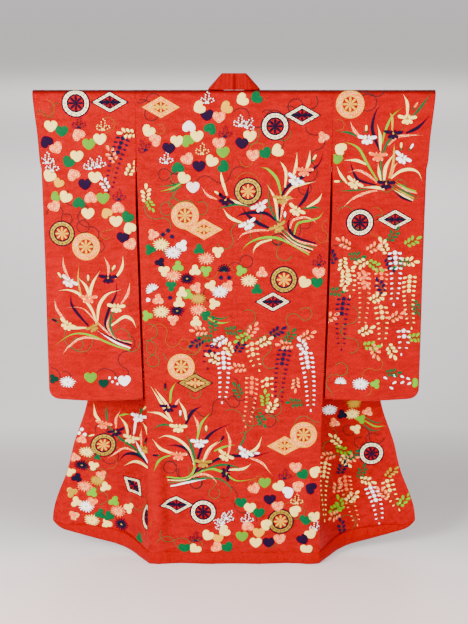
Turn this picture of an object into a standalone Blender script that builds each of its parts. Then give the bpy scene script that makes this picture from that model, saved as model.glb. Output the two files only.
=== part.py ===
"""An uchikake, the long wedding kimono with a padded hem, hung on a plain rod.

The garment hangs with its back towards -Y. The rod runs through both sleeves, and its middle is the
origin. The two fronts are drawn out sideways at the hem, so that each one leaves its side seam behind the
back, turns in a soft roll and comes out beside the back with its outer face towards -Y as well. Every
piece of cloth is a wall of silk, wadding and lining in one.
"""

import math

import bmesh
import bpy
from mathutils import Vector

# Cloth and rod
WALL = 0.003  # outer silk, thin wadding and lining together
SEAM_GAP = 0.0003  # air between neighbouring pieces
ROD_RADIUS = 0.0152
ROD_HALF_LENGTH = 0.606
FOLD_RADIUS = ROD_RADIUS + SEAM_GAP + WALL  # outer face of the cloth that lies over the rod
WELD = 0.00002  # points closer than this are one point

# Body, measured down from the top of the shoulder fold
SHOULDER_TO_HEM = 1.629
HALF_SHOULDER = 0.314
HALF_NECK = 0.086
NECK_XS = (0.018, 0.036, 0.056, 0.073, 0.0835)  # points of the neckline, shared by the back and the collar

# Half width of the back at each height
BACK_ROWS = (
    {"drop": 0.0, "half_width": 0.3140},
    {"drop": 0.24, "half_width": 0.3135},
    {"drop": 0.42, "half_width": 0.3105},
    {"drop": 0.85, "half_width": 0.3030},
    {"drop": 1.20, "half_width": 0.2940},
    {"drop": 1.63, "half_width": 0.2950},
)

# Soft folds of the hanging back: ridges stand out from the outer face, troughs have a negative depth
BACK_FOLDS = (
    {"x": -0.262, "width": 0.024, "depth": 0.0060, "from_drop": 1.15, "to_drop": 1.45},
    {"x": -0.205, "width": 0.034, "depth": -0.0040, "from_drop": 1.05, "to_drop": 1.40},
    {"x": -0.095, "width": 0.060, "depth": 0.0030, "from_drop": 0.70, "to_drop": 1.30},
    {"x": 0.085, "width": 0.052, "depth": 0.0032, "from_drop": 0.90, "to_drop": 1.50},
    {"x": 0.180, "width": 0.040, "depth": -0.0035, "from_drop": 0.80, "to_drop": 1.35},
    {"x": 0.258, "width": 0.026, "depth": 0.0050, "from_drop": 1.20, "to_drop": 1.50},
)

# Cut width of a front with its okumi, from the side seam to the free front edge, and of the front alone
FRONT_CUT = (
    {"drop": 0.0, "to_edge": 0.228, "to_okumi": 0.228},
    {"drop": 0.23, "to_edge": 0.262, "to_okumi": 0.262},
    {"drop": 0.80, "to_edge": 0.400, "to_okumi": 0.262},
    {"drop": 1.63, "to_edge": 0.387, "to_okumi": 0.249},
)
OKUMI_TIP_DROP = 0.236
OKUMI_TIP_WIDTH = 0.0035
OKUMI_TIP_ROOM = 0.005  # what the collar leaves for the tip

# How a front is bent at each height, seen from above: it leaves the side seam at start degrees from +X,
# runs straight for flat, turns in a roll of radius roll to end degrees, and runs straight again to its edge,
# which is lifted this much.
FRONT_BENDS = (
    {"drop": 0.0, "side_y": 0.0185, "flat": 0.228, "start": 180, "end": 180, "roll": 0.020, "lift": 0.0},
    {"drop": 0.13, "side_y": 0.0185, "flat": 0.224, "start": 180, "end": 165, "roll": 0.022, "lift": 0.0},
    {"drop": 0.25, "side_y": 0.0185, "flat": 0.205, "start": 178, "end": 95, "roll": 0.025, "lift": 0.0},
    {"drop": 0.39, "side_y": -0.012, "flat": 0.180, "start": 170, "end": 38, "roll": 0.030, "lift": 0.0},
    {"drop": 0.60, "side_y": -0.012, "flat": 0.140, "start": 170, "end": 20, "roll": 0.034, "lift": 0.002},
    {"drop": 0.83, "side_y": -0.012, "flat": 0.090, "start": 169, "end": 16, "roll": 0.038, "lift": 0.010},
    {"drop": 1.04, "side_y": -0.012, "flat": 0.038, "start": 164, "end": 14, "roll": 0.042, "lift": 0.026},
    {"drop": 1.30, "side_y": -0.012, "flat": 0.034, "start": 116, "end": 10, "roll": 0.062, "lift": 0.054},
    {"drop": 1.63, "side_y": -0.013, "flat": 0.080, "start": 48, "end": 4, "roll": 0.140, "lift": 0.086},
)
LIFT_CURVE = 1.3  # the lift grows towards the front edge by this power of the length
HEM_CORNER = {"reach": 0.045, "rise": 0.018, "from_drop": 1.40}  # the hem rounds up to its front corner

# Collar: a folded band sewn round the neck and down both front edges
COLLAR_WIDTH = 0.053
COLLAR_GAP = 0.0009  # the twisting front edges need this much
COLLAR_THICKNESS = 0.0045
COLLAR_HALF_TOP = 0.036
COLLAR_LEAN = 0.004
COLLAR_END_DROP = 0.90

# Sleeves: half thickness of the bag and x of its two edges at each height
SLEEVE_ROWS = (
    {"drop": 0.0, "outer_x": 0.639, "inner_x": 0.3143, "half_thick": 0.0185},
    {"drop": 0.18, "outer_x": 0.625, "inner_x": 0.3143, "half_thick": 0.0180},
    {"drop": 0.30, "outer_x": 0.621, "inner_x": 0.3165, "half_thick": 0.0150},
    {"drop": 0.60, "outer_x": 0.620, "inner_x": 0.3120, "half_thick": 0.0110},
    {"drop": 0.85, "outer_x": 0.621, "inner_x": 0.3070, "half_thick": 0.0105},
    {"drop": 1.04, "outer_x": 0.621, "inner_x": 0.3030, "half_thick": 0.0100},
)
SLEEVE_DROP = 1.035
SLEEVE_SAG = 0.007  # the middle of the bottom edge hangs this much lower than its ends
SLEEVE_WAVE = {"depth": 0.0022, "turns": 9.0, "start": 2.0}  # slow wave across the hanging bag, in radians
CUFF_DROP = 0.245
CUFF_END = CUFF_DROP + 0.012  # the outer edge is sewn from here down
SLEEVE_CORNER = 0.036
SLEEVE_EDGE = 0.0075  # half thickness at which a sewn edge of the bag rounds off
SLEEVE_RIM = 0.0015  # half thickness left at the sewn edge, just before the rims of the two layers meet
RIM = 1.01  # marks the rim column and row of a sleeve's layer

# Padded hem roll, with its height and thickness along the hem as shares of the front's cut width
ROLL_HEIGHT = 0.041
ROLL_THICKNESS = 0.016
ROLL_TAPER = (
    {"share": 0.0, "height": ROLL_HEIGHT, "thickness": ROLL_THICKNESS},
    {"share": 0.35, "height": 0.050, "thickness": 0.017},
    {"share": 0.70, "height": 0.038, "thickness": 0.014},
    {"share": 1.0, "height": 0.012, "thickness": 0.008},
)
ROLL_SIDES = 12

SIDES = {"left": -1.0, "right": 1.0}
LAYERS = {"back": -1.0, "front": 1.0}


def between(rows, key, value, column):
    """The smooth curve through a table's column, read at a value of its key column."""
    keys = [row[key] for row in rows]
    heights = [row[column] for row in rows]
    if value <= keys[0]:
        return heights[0]
    if value >= keys[-1]:
        return heights[-1]
    k = max(i for i in range(len(keys) - 1) if keys[i] <= value)

    def slope(i):
        """Monotone slope at row i, so that the curve never swings past its rows."""
        if i in (0, len(keys) - 1):
            return 0.0
        before = (heights[i] - heights[i - 1]) / (keys[i] - keys[i - 1])
        after = (heights[i + 1] - heights[i]) / (keys[i + 1] - keys[i])
        return 0.0 if before * after <= 0 else 2 * before * after / (before + after)

    span = keys[k + 1] - keys[k]
    t = (value - keys[k]) / span
    return (
        heights[k] * (2 * t**3 - 3 * t**2 + 1)
        + slope(k) * span * (t**3 - 2 * t**2 + t)
        + heights[k + 1] * (3 * t**2 - 2 * t**3)
        + slope(k + 1) * span * (t**3 - t**2)
    )


def ramp(value, low, high):
    """0 below low and 1 above high, with a smooth rise between."""
    t = min(max((value - low) / (high - low), 0.0), 1.0)
    return t * t * (3 - 2 * t)


def spread(start, end, count):
    """Count values from start to end, evenly spaced."""
    return [start + (end - start) * i / (count - 1) for i in range(count)]


def over_fold(drop):
    """Angle from the top of the shoulder fold and height, for a length of cloth measured from that top."""
    quarter = FOLD_RADIUS * math.pi / 2
    angle = min(drop / quarter, 1.0) * math.pi / 2
    return angle, FOLD_RADIUS * math.cos(angle) - max(drop - quarter, 0.0)


FOLD_DROPS = [FOLD_RADIUS * math.pi / 2 * share for share in (0.0, 0.25, 0.5, 0.75, 1.0)]
# Heights that the rows of the front, the okumi and the collar share, so that their seam edges match
FRONT_DROPS = (
    [0.05, 0.085, 0.12, 0.155, 0.19, OKUMI_TIP_DROP, 0.28, 0.325, 0.375, 0.43, 0.49, 0.555, 0.62, 0.69]
    + [0.76, 0.83, COLLAR_END_DROP, 0.97, 1.05, 1.13, 1.21, 1.29, 1.37, 1.45, 1.535, SHOULDER_TO_HEM]
)
BACK_SHARES = [0.0] + [x / HALF_SHOULDER for x in NECK_XS] + [0.40, 0.54, 0.66, 0.76, 0.86, 0.94, 1.0]
FRONT_SHARES = (0.0, 0.06, 0.14, 0.25, 0.36, 0.47, 0.58, 0.69, 0.80, 0.90, 0.995, 1.0)
OKUMI_SHARES = (0.25, 0.5, 0.75)  # between the two narrow strips along its seams
SEAM_STRIP = 0.0012  # narrow last row or column beside a seam, which keeps the two walls' rims parallel
HEM_Z = over_fold(SHOULDER_TO_HEM)[1]


def fold_swell(x, drop):
    """How far the soft folds of the back stand out at this place."""
    swell = 0.0
    for fold in BACK_FOLDS:
        across = math.exp(-(((x - fold["x"]) / fold["width"]) ** 2))
        swell += fold["depth"] * across * ramp(drop, fold["from_drop"], fold["to_drop"])
    return swell


def back_point(x, drop):
    """Outer face of the back. Between the neck points its top edge bows away from the rod."""
    angle, z = over_fold(drop)
    bow = 0.0
    if abs(x) < HALF_NECK:
        bow = FOLD_RADIUS * math.sqrt(1 - (x / HALF_NECK) ** 2)
    y = -FOLD_RADIUS + (FOLD_RADIUS - bow) * (1 - math.sin(angle))
    return Vector((x, y - fold_swell(x, drop), z))


def front_section(drop):
    """Start, straight length, roll and headings of the front at this height."""
    row = {column: between(FRONT_BENDS, "drop", drop, column) for column in FRONT_BENDS[0]}
    return row, math.radians(row["start"]), math.radians(row["end"])


def front_point(along, drop):
    """Outer face of the right front, at a length from the side seam and a length down from the fold."""
    row, start, end = front_section(drop)
    flat, roll = row["flat"], row["roll"]
    turned = min(max((along - flat) / roll, 0.0), start - end)
    heading = start - turned
    rest = max(along - flat - roll * (start - end), 0.0)
    first = min(along, flat)
    x = first * math.cos(start) + roll * (math.sin(start) - math.sin(heading)) + rest * math.cos(end)
    y = first * math.sin(start) + roll * (math.cos(heading) - math.cos(start)) + rest * math.sin(end)
    side_x = between(BACK_ROWS, "drop", drop, "half_width") - SEAM_GAP / 2
    angle, z = over_fold(drop)
    side_y = row["side_y"] * math.sin(angle)
    width = between(FRONT_CUT, "drop", drop, "to_edge")
    lift = row["lift"] * (along / width) ** LIFT_CURVE
    corner = max(along - width + HEM_CORNER["reach"], 0.0) / HEM_CORNER["reach"]
    lift += HEM_CORNER["rise"] * corner**2 * ramp(drop, HEM_CORNER["from_drop"], SHOULDER_TO_HEM)
    return Vector((side_x + x, side_y + y, z + lift))


def scene_collection(name):
    """A new collection in the scene."""
    collection = bpy.data.collections.new(name)
    bpy.context.scene.collection.children.link(collection)
    return collection


def finish(name, color, roughness):
    """A Principled material."""
    material = bpy.data.materials.new(name)
    material.use_nodes = True
    shader = material.node_tree.nodes["Principled BSDF"]
    shader.inputs["Base Color"].default_value = (*color, 1.0)
    shader.inputs["Roughness"].default_value = roughness
    shader.inputs["Metallic"].default_value = 0.0
    return material


def add_grid(bm, columns, rows, place, flip):
    """Add a grid with a point for each column and row, and bend it so that each point is at its place."""
    made = bmesh.ops.create_grid(bm, x_segments=len(columns) - 1, y_segments=len(rows) - 1, size=0.5)
    verts = made["verts"]
    for vert in verts:
        i = round((vert.co.x + 0.5) * (len(columns) - 1))
        j = round((vert.co.y + 0.5) * (len(rows) - 1))
        vert.co = place(columns[i], rows[j])
    if flip:
        bmesh.ops.reverse_faces(bm, faces=list({face for vert in verts for face in vert.link_faces}))


def cloth_object(name, bm, material, collection, wall=WALL):
    """Turn an open surface into a wall of cloth, its thickness behind the outer face."""
    bmesh.ops.remove_doubles(bm, verts=bm.verts, dist=WELD)
    mesh = bpy.data.meshes.new(name)
    bm.to_mesh(mesh)
    bm.free()
    mesh.materials.append(material)
    mesh.shade_smooth()
    piece = bpy.data.objects.new(name, mesh)
    collection.objects.link(piece)
    shell = piece.modifiers.new("Wall", "SOLIDIFY")
    shell.thickness = wall
    shell.offset = -1.0
    split = piece.modifiers.new("Even split", "TRIANGULATE")
    split.quad_method = "SHORTEST_DIAGONAL"
    return piece


def back_panel(side, material, collection):
    """One half of the back, from the centre seam to the side, up to the top of the shoulder fold."""
    hand = SIDES[side]
    bottom = SHOULDER_TO_HEM - ROLL_HEIGHT - SEAM_GAP
    drops = [SEAM_GAP / 2, SEAM_STRIP] + FOLD_DROPS[1:] + spread(0.11, bottom, 15)

    def place(share, drop):
        half = between(BACK_ROWS, "drop", drop, "half_width") - SEAM_GAP / 2
        return back_point(hand * max(half * share, SEAM_GAP / 2), drop)

    bm = bmesh.new()
    add_grid(bm, BACK_SHARES, drops, place, flip=hand > 0)
    return cloth_object(f"back_{side}", bm, material, collection)


def seam_line(drop):
    """Length from the side seam to the okumi's seam, or to the neck edge above the okumi's tip."""
    return between(FRONT_CUT, "drop", drop, "to_edge" if drop < OKUMI_TIP_DROP else "to_okumi")


def edge_line(drop):
    """Length from the side seam to the free front edge."""
    return between(FRONT_CUT, "drop", drop, "to_edge")


def free_edge(drop):
    """Length from the side seam to the edge that the collar is sewn to, past the tip of the okumi."""
    tip = seam_line(drop) + OKUMI_TIP_ROOM if drop >= OKUMI_TIP_DROP else 0.0
    return max(edge_line(drop), tip)


def okumi_lengths(drop):
    """Lengths from the side seam to the columns of the okumi, narrow beside both of its seams."""
    seam = seam_line(drop) + SEAM_GAP / 2
    width = OKUMI_TIP_WIDTH if drop <= OKUMI_TIP_DROP else free_edge(drop) - seam
    strip = min(SEAM_STRIP / width, OKUMI_SHARES[0] / 2)
    return [seam + width * share for share in (0.0, strip, *OKUMI_SHARES, 1 - strip, 1.0)]


def mirrored(point, hand):
    """The point on the side named by hand."""
    return Vector((point.x * hand, point.y, point.z))


def roll_height(share):
    """Height of the hem roll at a share of the front's cut width."""
    return between(ROLL_TAPER, "share", share, "height")


def above_roll(drop, along):
    """The drop, drawn up near the hem so that the cloth ends on top of the hem roll."""
    end = SHOULDER_TO_HEM - roll_height(along / edge_line(SHOULDER_TO_HEM)) - 2 * SEAM_GAP
    return drop - (SHOULDER_TO_HEM - end) * ramp(drop, 1.2, SHOULDER_TO_HEM)


def front_panel(side, material, collection):
    """One front, from the side to the neck edge above and the okumi seam below."""
    hand = SIDES[side]
    drops = [SEAM_GAP / 2, SEAM_STRIP] + FOLD_DROPS[1:] + FRONT_DROPS

    def place(share, drop):
        reach = above_roll(drop, share * seam_line(SHOULDER_TO_HEM))
        return mirrored(front_point((seam_line(drop) - SEAM_GAP / 2) * share, reach), hand)

    bm = bmesh.new()
    add_grid(bm, FRONT_SHARES, drops, place, flip=hand > 0)
    return cloth_object(f"front_{side}", bm, material, collection)


def okumi_panel(side, material, collection):
    """The long overlap strip on a front, a thin wedge at its top."""
    hand = SIDES[side]

    def place(column, drop):
        along = okumi_lengths(drop)[column]
        return mirrored(front_point(along, above_roll(drop, along)), hand)

    bm = bmesh.new()
    rows = [drop for drop in FRONT_DROPS if drop >= OKUMI_TIP_DROP]
    add_grid(bm, range(len(okumi_lengths(OKUMI_TIP_DROP))), rows, place, flip=hand > 0)
    return cloth_object(f"okumi_{side}", bm, material, collection)


def sleeve_reach(x, z, outer_x):
    """Distance from a point of the sleeve to its sewn outline: outer edge, rounded corner and bottom."""
    bottom = over_fold(SLEEVE_DROP)[1]
    corner_x, corner_z = outer_x - SLEEVE_CORNER, bottom + SLEEVE_CORNER
    if x > corner_x and z < corner_z:
        return SLEEVE_CORNER - math.hypot(x - corner_x, z - corner_z)
    return min(outer_x - x, z - bottom)


def sleeve_layer(layer, side, material, collection):
    """Back or front layer of a sleeve: a flat bag over the rod, open at armhole, free inner edge and cuff.

    A share past 1 or a drop past the sleeve's own is the rim where the two layers are sewn together.
    """
    hand = SIDES[side]
    face = LAYERS[layer]
    shares = (0.0, 0.12, 0.26, 0.40, 0.54, 0.68, 0.80, 0.89, 0.950, 0.978, 0.993, 1.0, RIM)
    above_bottom = (0.060, 0.036, 0.018, 0.009, 0.004, 0.001, 0.0)
    drops = [SEAM_GAP / 2, SEAM_STRIP] + FOLD_DROPS[1:] + spread(0.09, CUFF_DROP, 4) + [CUFF_END]
    drops += spread(0.33, 0.90, 8) + [SLEEVE_DROP - height for height in above_bottom] + [RIM * SLEEVE_DROP]

    def place(share, drop):
        rim = share > 1 or drop > SLEEVE_DROP
        share, drop = min(share, 1.0), min(drop, SLEEVE_DROP)
        row = {column: between(SLEEVE_ROWS, "drop", drop, column) for column in SLEEVE_ROWS[0]}
        angle, z = over_fold(drop)
        height = z - over_fold(SLEEVE_DROP)[1]
        outer = row["outer_x"]
        end = outer
        if height < SLEEVE_CORNER:
            end = outer - SLEEVE_CORNER + math.sqrt(SLEEVE_CORNER**2 - (SLEEVE_CORNER - height) ** 2)
        x = row["inner_x"] + (end - row["inner_x"]) * share
        edge = min(max(sleeve_reach(x, z, outer), 0.0) / SLEEVE_EDGE, 1.0)
        if drop < CUFF_END:
            edge = 1 - (1 - edge) * ramp(drop, CUFF_DROP, CUFF_END)
        rounding = math.sqrt(1 - (1 - edge) ** 2)
        thick = row["half_thick"] * math.sin(angle)
        middle = -FOLD_RADIUS * math.sin(angle) + thick
        apart = max(thick * rounding, 0.0 if drop < SEAM_STRIP else SLEEVE_RIM)
        if rim and drop > CUFF_DROP:
            apart = SEAM_GAP / 2
        sag = SLEEVE_SAG * math.sin(math.pi * share) * ramp(drop, 0.6, SLEEVE_DROP)
        wave = math.sin(SLEEVE_WAVE["turns"] * share + SLEEVE_WAVE["start"] + hand)
        swell = SLEEVE_WAVE["depth"] * wave * ramp(drop, 0.3, 0.8) * rounding
        return Vector((x * hand, middle + face * apart - swell, z - sag))

    bm = bmesh.new()
    add_grid(bm, shares, drops, place, flip=hand * face < 0)
    return cloth_object(f"sleeve_{side}_{layer}", bm, material, collection)


def collar_stations():
    """Seam point and free point of the collar band along its right half, from the centre back to its end."""
    top = FOLD_RADIUS + COLLAR_WIDTH
    stations = []
    for x in (SEAM_GAP / 2,) + NECK_XS[:2]:
        seam = back_point(x, 0.0) + Vector((0, 0, SEAM_GAP))
        stations.append((seam, Vector((x, seam.y - COLLAR_LEAN, top))))
    fan = (
        {"seam_x": NECK_XS[2], "rise": 0.0005, "free_x": 0.0385, "free_y": -0.0205, "free_z": 0.0715},
        {"seam_x": NECK_XS[3], "rise": 0.0012, "free_x": 0.04, "free_y": -0.016, "free_z": 0.0705},
    )
    for row in fan:
        seam = back_point(row["seam_x"], 0.0) + Vector((0, 0, row["rise"]))
        stations.append((seam, Vector((row["free_x"], row["free_y"], row["free_z"]))))
    turn = (
        {"drop": 0.0, "seam_x": 0.0835, "rise": 0.002, "free_x": 0.04, "free_y": -0.006, "free_z": 0.069},
        {"drop": 0.009, "seam_x": 0.0835, "rise": 0.0015, "free_x": 0.039, "free_y": 0.006, "free_z": 0.062},
        {"drop": 0.018, "seam_x": 0.083, "rise": 0.0014, "free_x": 0.037, "free_y": 0.0155, "free_z": 0.048},
        {"drop": 0.029, "seam_x": 0.083, "rise": 0.001, "free_x": 0.034, "free_y": 0.0215, "free_z": 0.028},
    )
    for row in turn:
        angle, z = over_fold(row["drop"])
        radius = FOLD_RADIUS + COLLAR_THICKNESS - WALL + SEAM_GAP
        seam = Vector((row["seam_x"], radius * math.sin(angle), z + row["rise"]))
        stations.append((seam, Vector((row["free_x"], row["free_y"], row["free_z"]))))
    for drop in [drop for drop in FRONT_DROPS if drop <= COLLAR_END_DROP]:
        width = free_edge(drop) + COLLAR_GAP
        stations.append((front_point(width, drop), front_point(width + COLLAR_WIDTH, drop)))
    return stations


def collar(material, collection):
    """The collar band, from one front round the neck to the other."""
    half = collar_stations()
    whole = [(mirrored(seam, -1.0), mirrored(free, -1.0)) for seam, free in reversed(half)] + half
    shares = (0.0, 0.03, 0.35, 0.68, 1.0)

    def place(share, index):
        seam, free = whole[index]
        return seam.lerp(free, share)

    bm = bmesh.new()
    add_grid(bm, shares, list(range(len(whole))), place, flip=True)
    return cloth_object("collar", bm, material, collection, COLLAR_THICKNESS)


def hem_line(drop=SHOULDER_TO_HEM):
    """Middle of the wall along the hem, from the centre back to the front corner, with its roll's size."""
    half = between(BACK_ROWS, "drop", drop, "half_width") - SEAM_GAP / 2
    points = []
    for share in BACK_SHARES:
        middle = back_point(max(half * share, SEAM_GAP / 2), drop) + Vector((0, WALL / 2, 0))
        points.append({"at": middle, "height": ROLL_HEIGHT, "thickness": ROLL_THICKNESS, "piece": "back"})
    width = edge_line(drop)
    seam = seam_line(drop) - SEAM_GAP / 2
    for along in [seam * share for share in FRONT_SHARES[1:]] + okumi_lengths(drop)[1:]:
        ahead = front_point(along + 0.001, drop) - front_point(along, drop)
        inward = Vector((-ahead.y, ahead.x, 0)).normalized() * (WALL / 2)
        share = along / width
        points.append(
            {
                "at": front_point(along, drop) + inward,
                "height": roll_height(share),
                "thickness": between(ROLL_TAPER, "share", share, "thickness"),
                "piece": "front",
            }
        )
    return points


def hem_roll(piece, side, material, collection):
    """The padded roll under one back or one front: an oval lofted along the hem, mitred at the side seam."""
    hand = SIDES[side]
    line = hem_line()
    split = next(i for i, point in enumerate(line) if point["piece"] == "front")
    places = [point["at"] for point in line]
    rings = []
    for i, point in enumerate(line):
        before = (places[i] - places[i - 1]).normalized() if i else Vector((1, 0, 0))
        after = (places[i + 1] - places[i]).normalized() if i + 1 < len(places) else before
        ahead = (before + after).normalized()
        across = Vector((-ahead.y, ahead.x, 0)).normalized()
        stretch = 1 / max(math.sqrt((1 + before.dot(after)) / 2), 0.5)
        ring = []
        for k in range(ROLL_SIDES):
            turn = 2 * math.pi * k / ROLL_SIDES
            side_step = across * (point["thickness"] / 2 * stretch * math.sin(turn))
            height = point["height"] / 2 * (1 + math.cos(turn))
            ring.append(point["at"] + side_step + Vector((0, 0, height)))
        rings.append(ring)
    joint = [a.lerp(b, 0.5) for a, b in zip(rings[split - 1], rings[split])]
    ahead = (places[split] - places[split - 1]).normalized() * (SEAM_GAP / 2)
    if piece == "back":
        chosen = rings[:split] + [[corner - ahead for corner in joint]]
    else:
        chosen = [[corner + ahead for corner in joint]] + rings[split:]
    bm = bmesh.new()
    loops = []
    for ring in chosen:
        verts = [bm.verts.new(mirrored(corner, hand)) for corner in ring]
        loops.append([bm.edges.new((verts[k], verts[(k + 1) % ROLL_SIDES])) for k in range(ROLL_SIDES)])
    for first, second in zip(loops, loops[1:]):
        bmesh.ops.bridge_loops(bm, edges=first + second)
    for loop in (loops[0], loops[-1]):
        bmesh.ops.contextual_create(bm, geom=loop)
    bmesh.ops.recalc_face_normals(bm, faces=bm.faces)
    mesh = bpy.data.meshes.new(f"hem_roll_{piece}_{side}")
    bm.to_mesh(mesh)
    bm.free()
    mesh.materials.append(material)
    mesh.shade_smooth()
    roll = bpy.data.objects.new(mesh.name, mesh)
    collection.objects.link(roll)
    return roll


def rod(material, collection):
    """The plain round rod that the garment hangs on."""
    bpy.ops.mesh.primitive_cylinder_add(
        vertices=24, radius=ROD_RADIUS, depth=2 * ROD_HALF_LENGTH, rotation=(0, math.pi / 2, 0)
    )
    piece = bpy.context.object
    piece.name = "rod"
    piece.data.name = "rod"
    piece.data.materials.append(material)
    piece.data.shade_smooth()
    piece.data.set_sharp_from_angle(angle=math.radians(40))
    for owner in list(piece.users_collection):
        owner.objects.unlink(piece)
    collection.objects.link(piece)
    return piece


def main():
    """Build every piece of the garment and its rod."""
    for existing in list(bpy.data.objects):
        bpy.data.objects.remove(existing)
    garment = scene_collection("uchikake")
    silk = finish("red_silk", (0.76, 0.04, 0.02), 0.45)
    lining = finish("lining_silk", (0.90, 0.01, 0.01), 0.40)
    wood = finish("rod_wood", (0.05, 0.035, 0.03), 0.5)
    rod(wood, garment)
    for side in SIDES:
        back_panel(side, silk, garment)
        front_panel(side, silk, garment)
        okumi_panel(side, silk, garment)
        for layer in LAYERS:
            sleeve_layer(layer, side, silk, garment)
        hem_roll("back", side, lining, garment)
        hem_roll("front", side, lining, garment)
    collar(silk, garment)


main()
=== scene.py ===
"""Dresses the hanging uchikake: silk shells, padded hem, linings, embroidery, light and camera."""

import logging
import math
from dataclasses import dataclass, field
from enum import Enum
from typing import Callable, Sequence

import bpy
import numpy as np
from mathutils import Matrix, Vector


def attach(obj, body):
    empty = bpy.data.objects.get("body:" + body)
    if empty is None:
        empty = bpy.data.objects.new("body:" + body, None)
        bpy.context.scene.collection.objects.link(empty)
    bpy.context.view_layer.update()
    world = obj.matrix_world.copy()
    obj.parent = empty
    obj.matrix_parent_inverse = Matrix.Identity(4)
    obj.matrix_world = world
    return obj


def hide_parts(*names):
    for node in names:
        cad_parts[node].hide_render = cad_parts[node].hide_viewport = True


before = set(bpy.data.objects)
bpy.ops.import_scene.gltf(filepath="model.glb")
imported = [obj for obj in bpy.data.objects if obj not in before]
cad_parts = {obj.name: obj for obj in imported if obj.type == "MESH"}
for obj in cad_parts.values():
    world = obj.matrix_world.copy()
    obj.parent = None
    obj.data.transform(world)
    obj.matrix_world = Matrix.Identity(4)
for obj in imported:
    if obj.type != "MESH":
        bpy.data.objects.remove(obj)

LOG = logging.getLogger("uchikake")

Array = np.ndarray
Rows = tuple[dict[str, float], ...]
Colour = tuple[float, float, float]
Place = Callable[[Array, Array], Array]


def table(columns: str, *rows: tuple[float, ...]) -> Rows:
    """Rows with named columns."""
    return tuple(dict(zip(columns.split(), row)) for row in rows)


# Cloth and rod, as in the solids
WALL = 0.003
SEAM_GAP = 0.0003
FOLD_RADIUS = 0.0185
SHOULDER_TO_HEM = 1.629
HALF_NECK = 0.086
NECK_XS = (0.018, 0.036, 0.056, 0.073, 0.0835)
BACK_ROWS = table(
    "drop half_width",
    (0.0, 0.3140),
    (0.24, 0.3135),
    (0.42, 0.3105),
    (0.85, 0.3030),
    (1.20, 0.2940),
    (1.63, 0.2950),
)
BACK_FOLDS = table(
    "x width depth from_drop to_drop",
    (-0.262, 0.024, 0.0060, 1.15, 1.45),
    (-0.205, 0.034, -0.0040, 1.05, 1.40),
    (-0.095, 0.060, 0.0030, 0.70, 1.30),
    (0.085, 0.052, 0.0032, 0.90, 1.50),
    (0.180, 0.040, -0.0035, 0.80, 1.35),
    (0.258, 0.026, 0.0050, 1.20, 1.50),
)
FRONT_CUT = table(
    "drop to_edge to_okumi",
    (0.0, 0.228, 0.228),
    (0.23, 0.262, 0.262),
    (0.80, 0.400, 0.262),
    (1.63, 0.387, 0.249),
)
OKUMI_TIP_DROP = 0.236
OKUMI_TIP_ROOM = 0.005
FRONT_BENDS = table(
    "drop side_y flat start end roll lift",
    (0.0, 0.0185, 0.228, 180, 180, 0.020, 0.0),
    (0.13, 0.0185, 0.224, 180, 165, 0.022, 0.0),
    (0.25, 0.0185, 0.205, 178, 95, 0.025, 0.0),
    (0.39, -0.012, 0.180, 170, 38, 0.030, 0.0),
    (0.60, -0.012, 0.140, 170, 20, 0.034, 0.002),
    (0.83, -0.012, 0.090, 169, 16, 0.038, 0.010),
    (1.04, -0.012, 0.038, 164, 14, 0.042, 0.026),
    (1.30, -0.012, 0.034, 116, 10, 0.062, 0.054),
    (1.63, -0.013, 0.080, 48, 4, 0.140, 0.086),
)
LIFT_CURVE = 1.3
HEM_CORNER = {"reach": 0.045, "rise": 0.018, "from_drop": 1.40}
COLLAR_WIDTH = 0.053
COLLAR_GAP = 0.0009
COLLAR_THICKNESS = 0.0045
COLLAR_LEAN = 0.004
COLLAR_END_DROP = 0.90
SLEEVE_ROWS = table(
    "drop outer_x inner_x half_thick",
    (0.0, 0.639, 0.3143, 0.0185),
    (0.18, 0.625, 0.3143, 0.0180),
    (0.30, 0.621, 0.3165, 0.0150),
    (0.60, 0.620, 0.3120, 0.0110),
    (0.85, 0.621, 0.3070, 0.0105),
    (1.04, 0.621, 0.3030, 0.0100),
)
SLEEVE_DROP = 1.035
SLEEVE_SAG = 0.007
SLEEVE_WAVE = {"depth": 0.0022, "turns": 9.0, "start": 2.0}
ARMHOLE_DROP = 0.235
CUFF_DROP = 0.245
CUFF_END = CUFF_DROP + 0.012
SLEEVE_CORNER = 0.036
SLEEVE_EDGE = 0.0075
ROLL_HEIGHT = 0.041
ROLL_THICKNESS = 0.016
ROLL_TAPER = table(
    "share height thickness",
    (0.0, ROLL_HEIGHT, ROLL_THICKNESS),
    (0.35, 0.050, 0.017),
    (0.70, 0.038, 0.014),
    (1.0, 0.012, 0.008),
)

# Shell thickness of the dressed cloth, and the grid steps that carry its creases
SHELL = 0.0022
FINE_STEP = 0.0075
ROW_STRETCH = 1.2  # rows stand this much wider apart than columns
FIRST_HANGING_ROW = 0.035
CENTRE_HALF_GAP = SEAM_GAP / 200  # the dressed edges all but touch along the sewn seams
OKUMI_HALF_GAP = SEAM_GAP / 30
SURFACE_EPS = 0.0006  # step for reading a panel's slope
FIND_ROUNDS = 12
WELD = 0.00001
CLOTH_ANGLE = 60.0  # edges sharper than this stay sharp
STITCH_ANGLE = 50.0
MIRROR = np.array([-1.0, 1.0, 1.0])


class Side(Enum):
    """The two hands of the garment, as the sign of x."""

    LEFT = -1.0
    RIGHT = 1.0

    @property
    def word(self) -> str:
        """The hand as it stands in names."""
        return self.name.lower()


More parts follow.
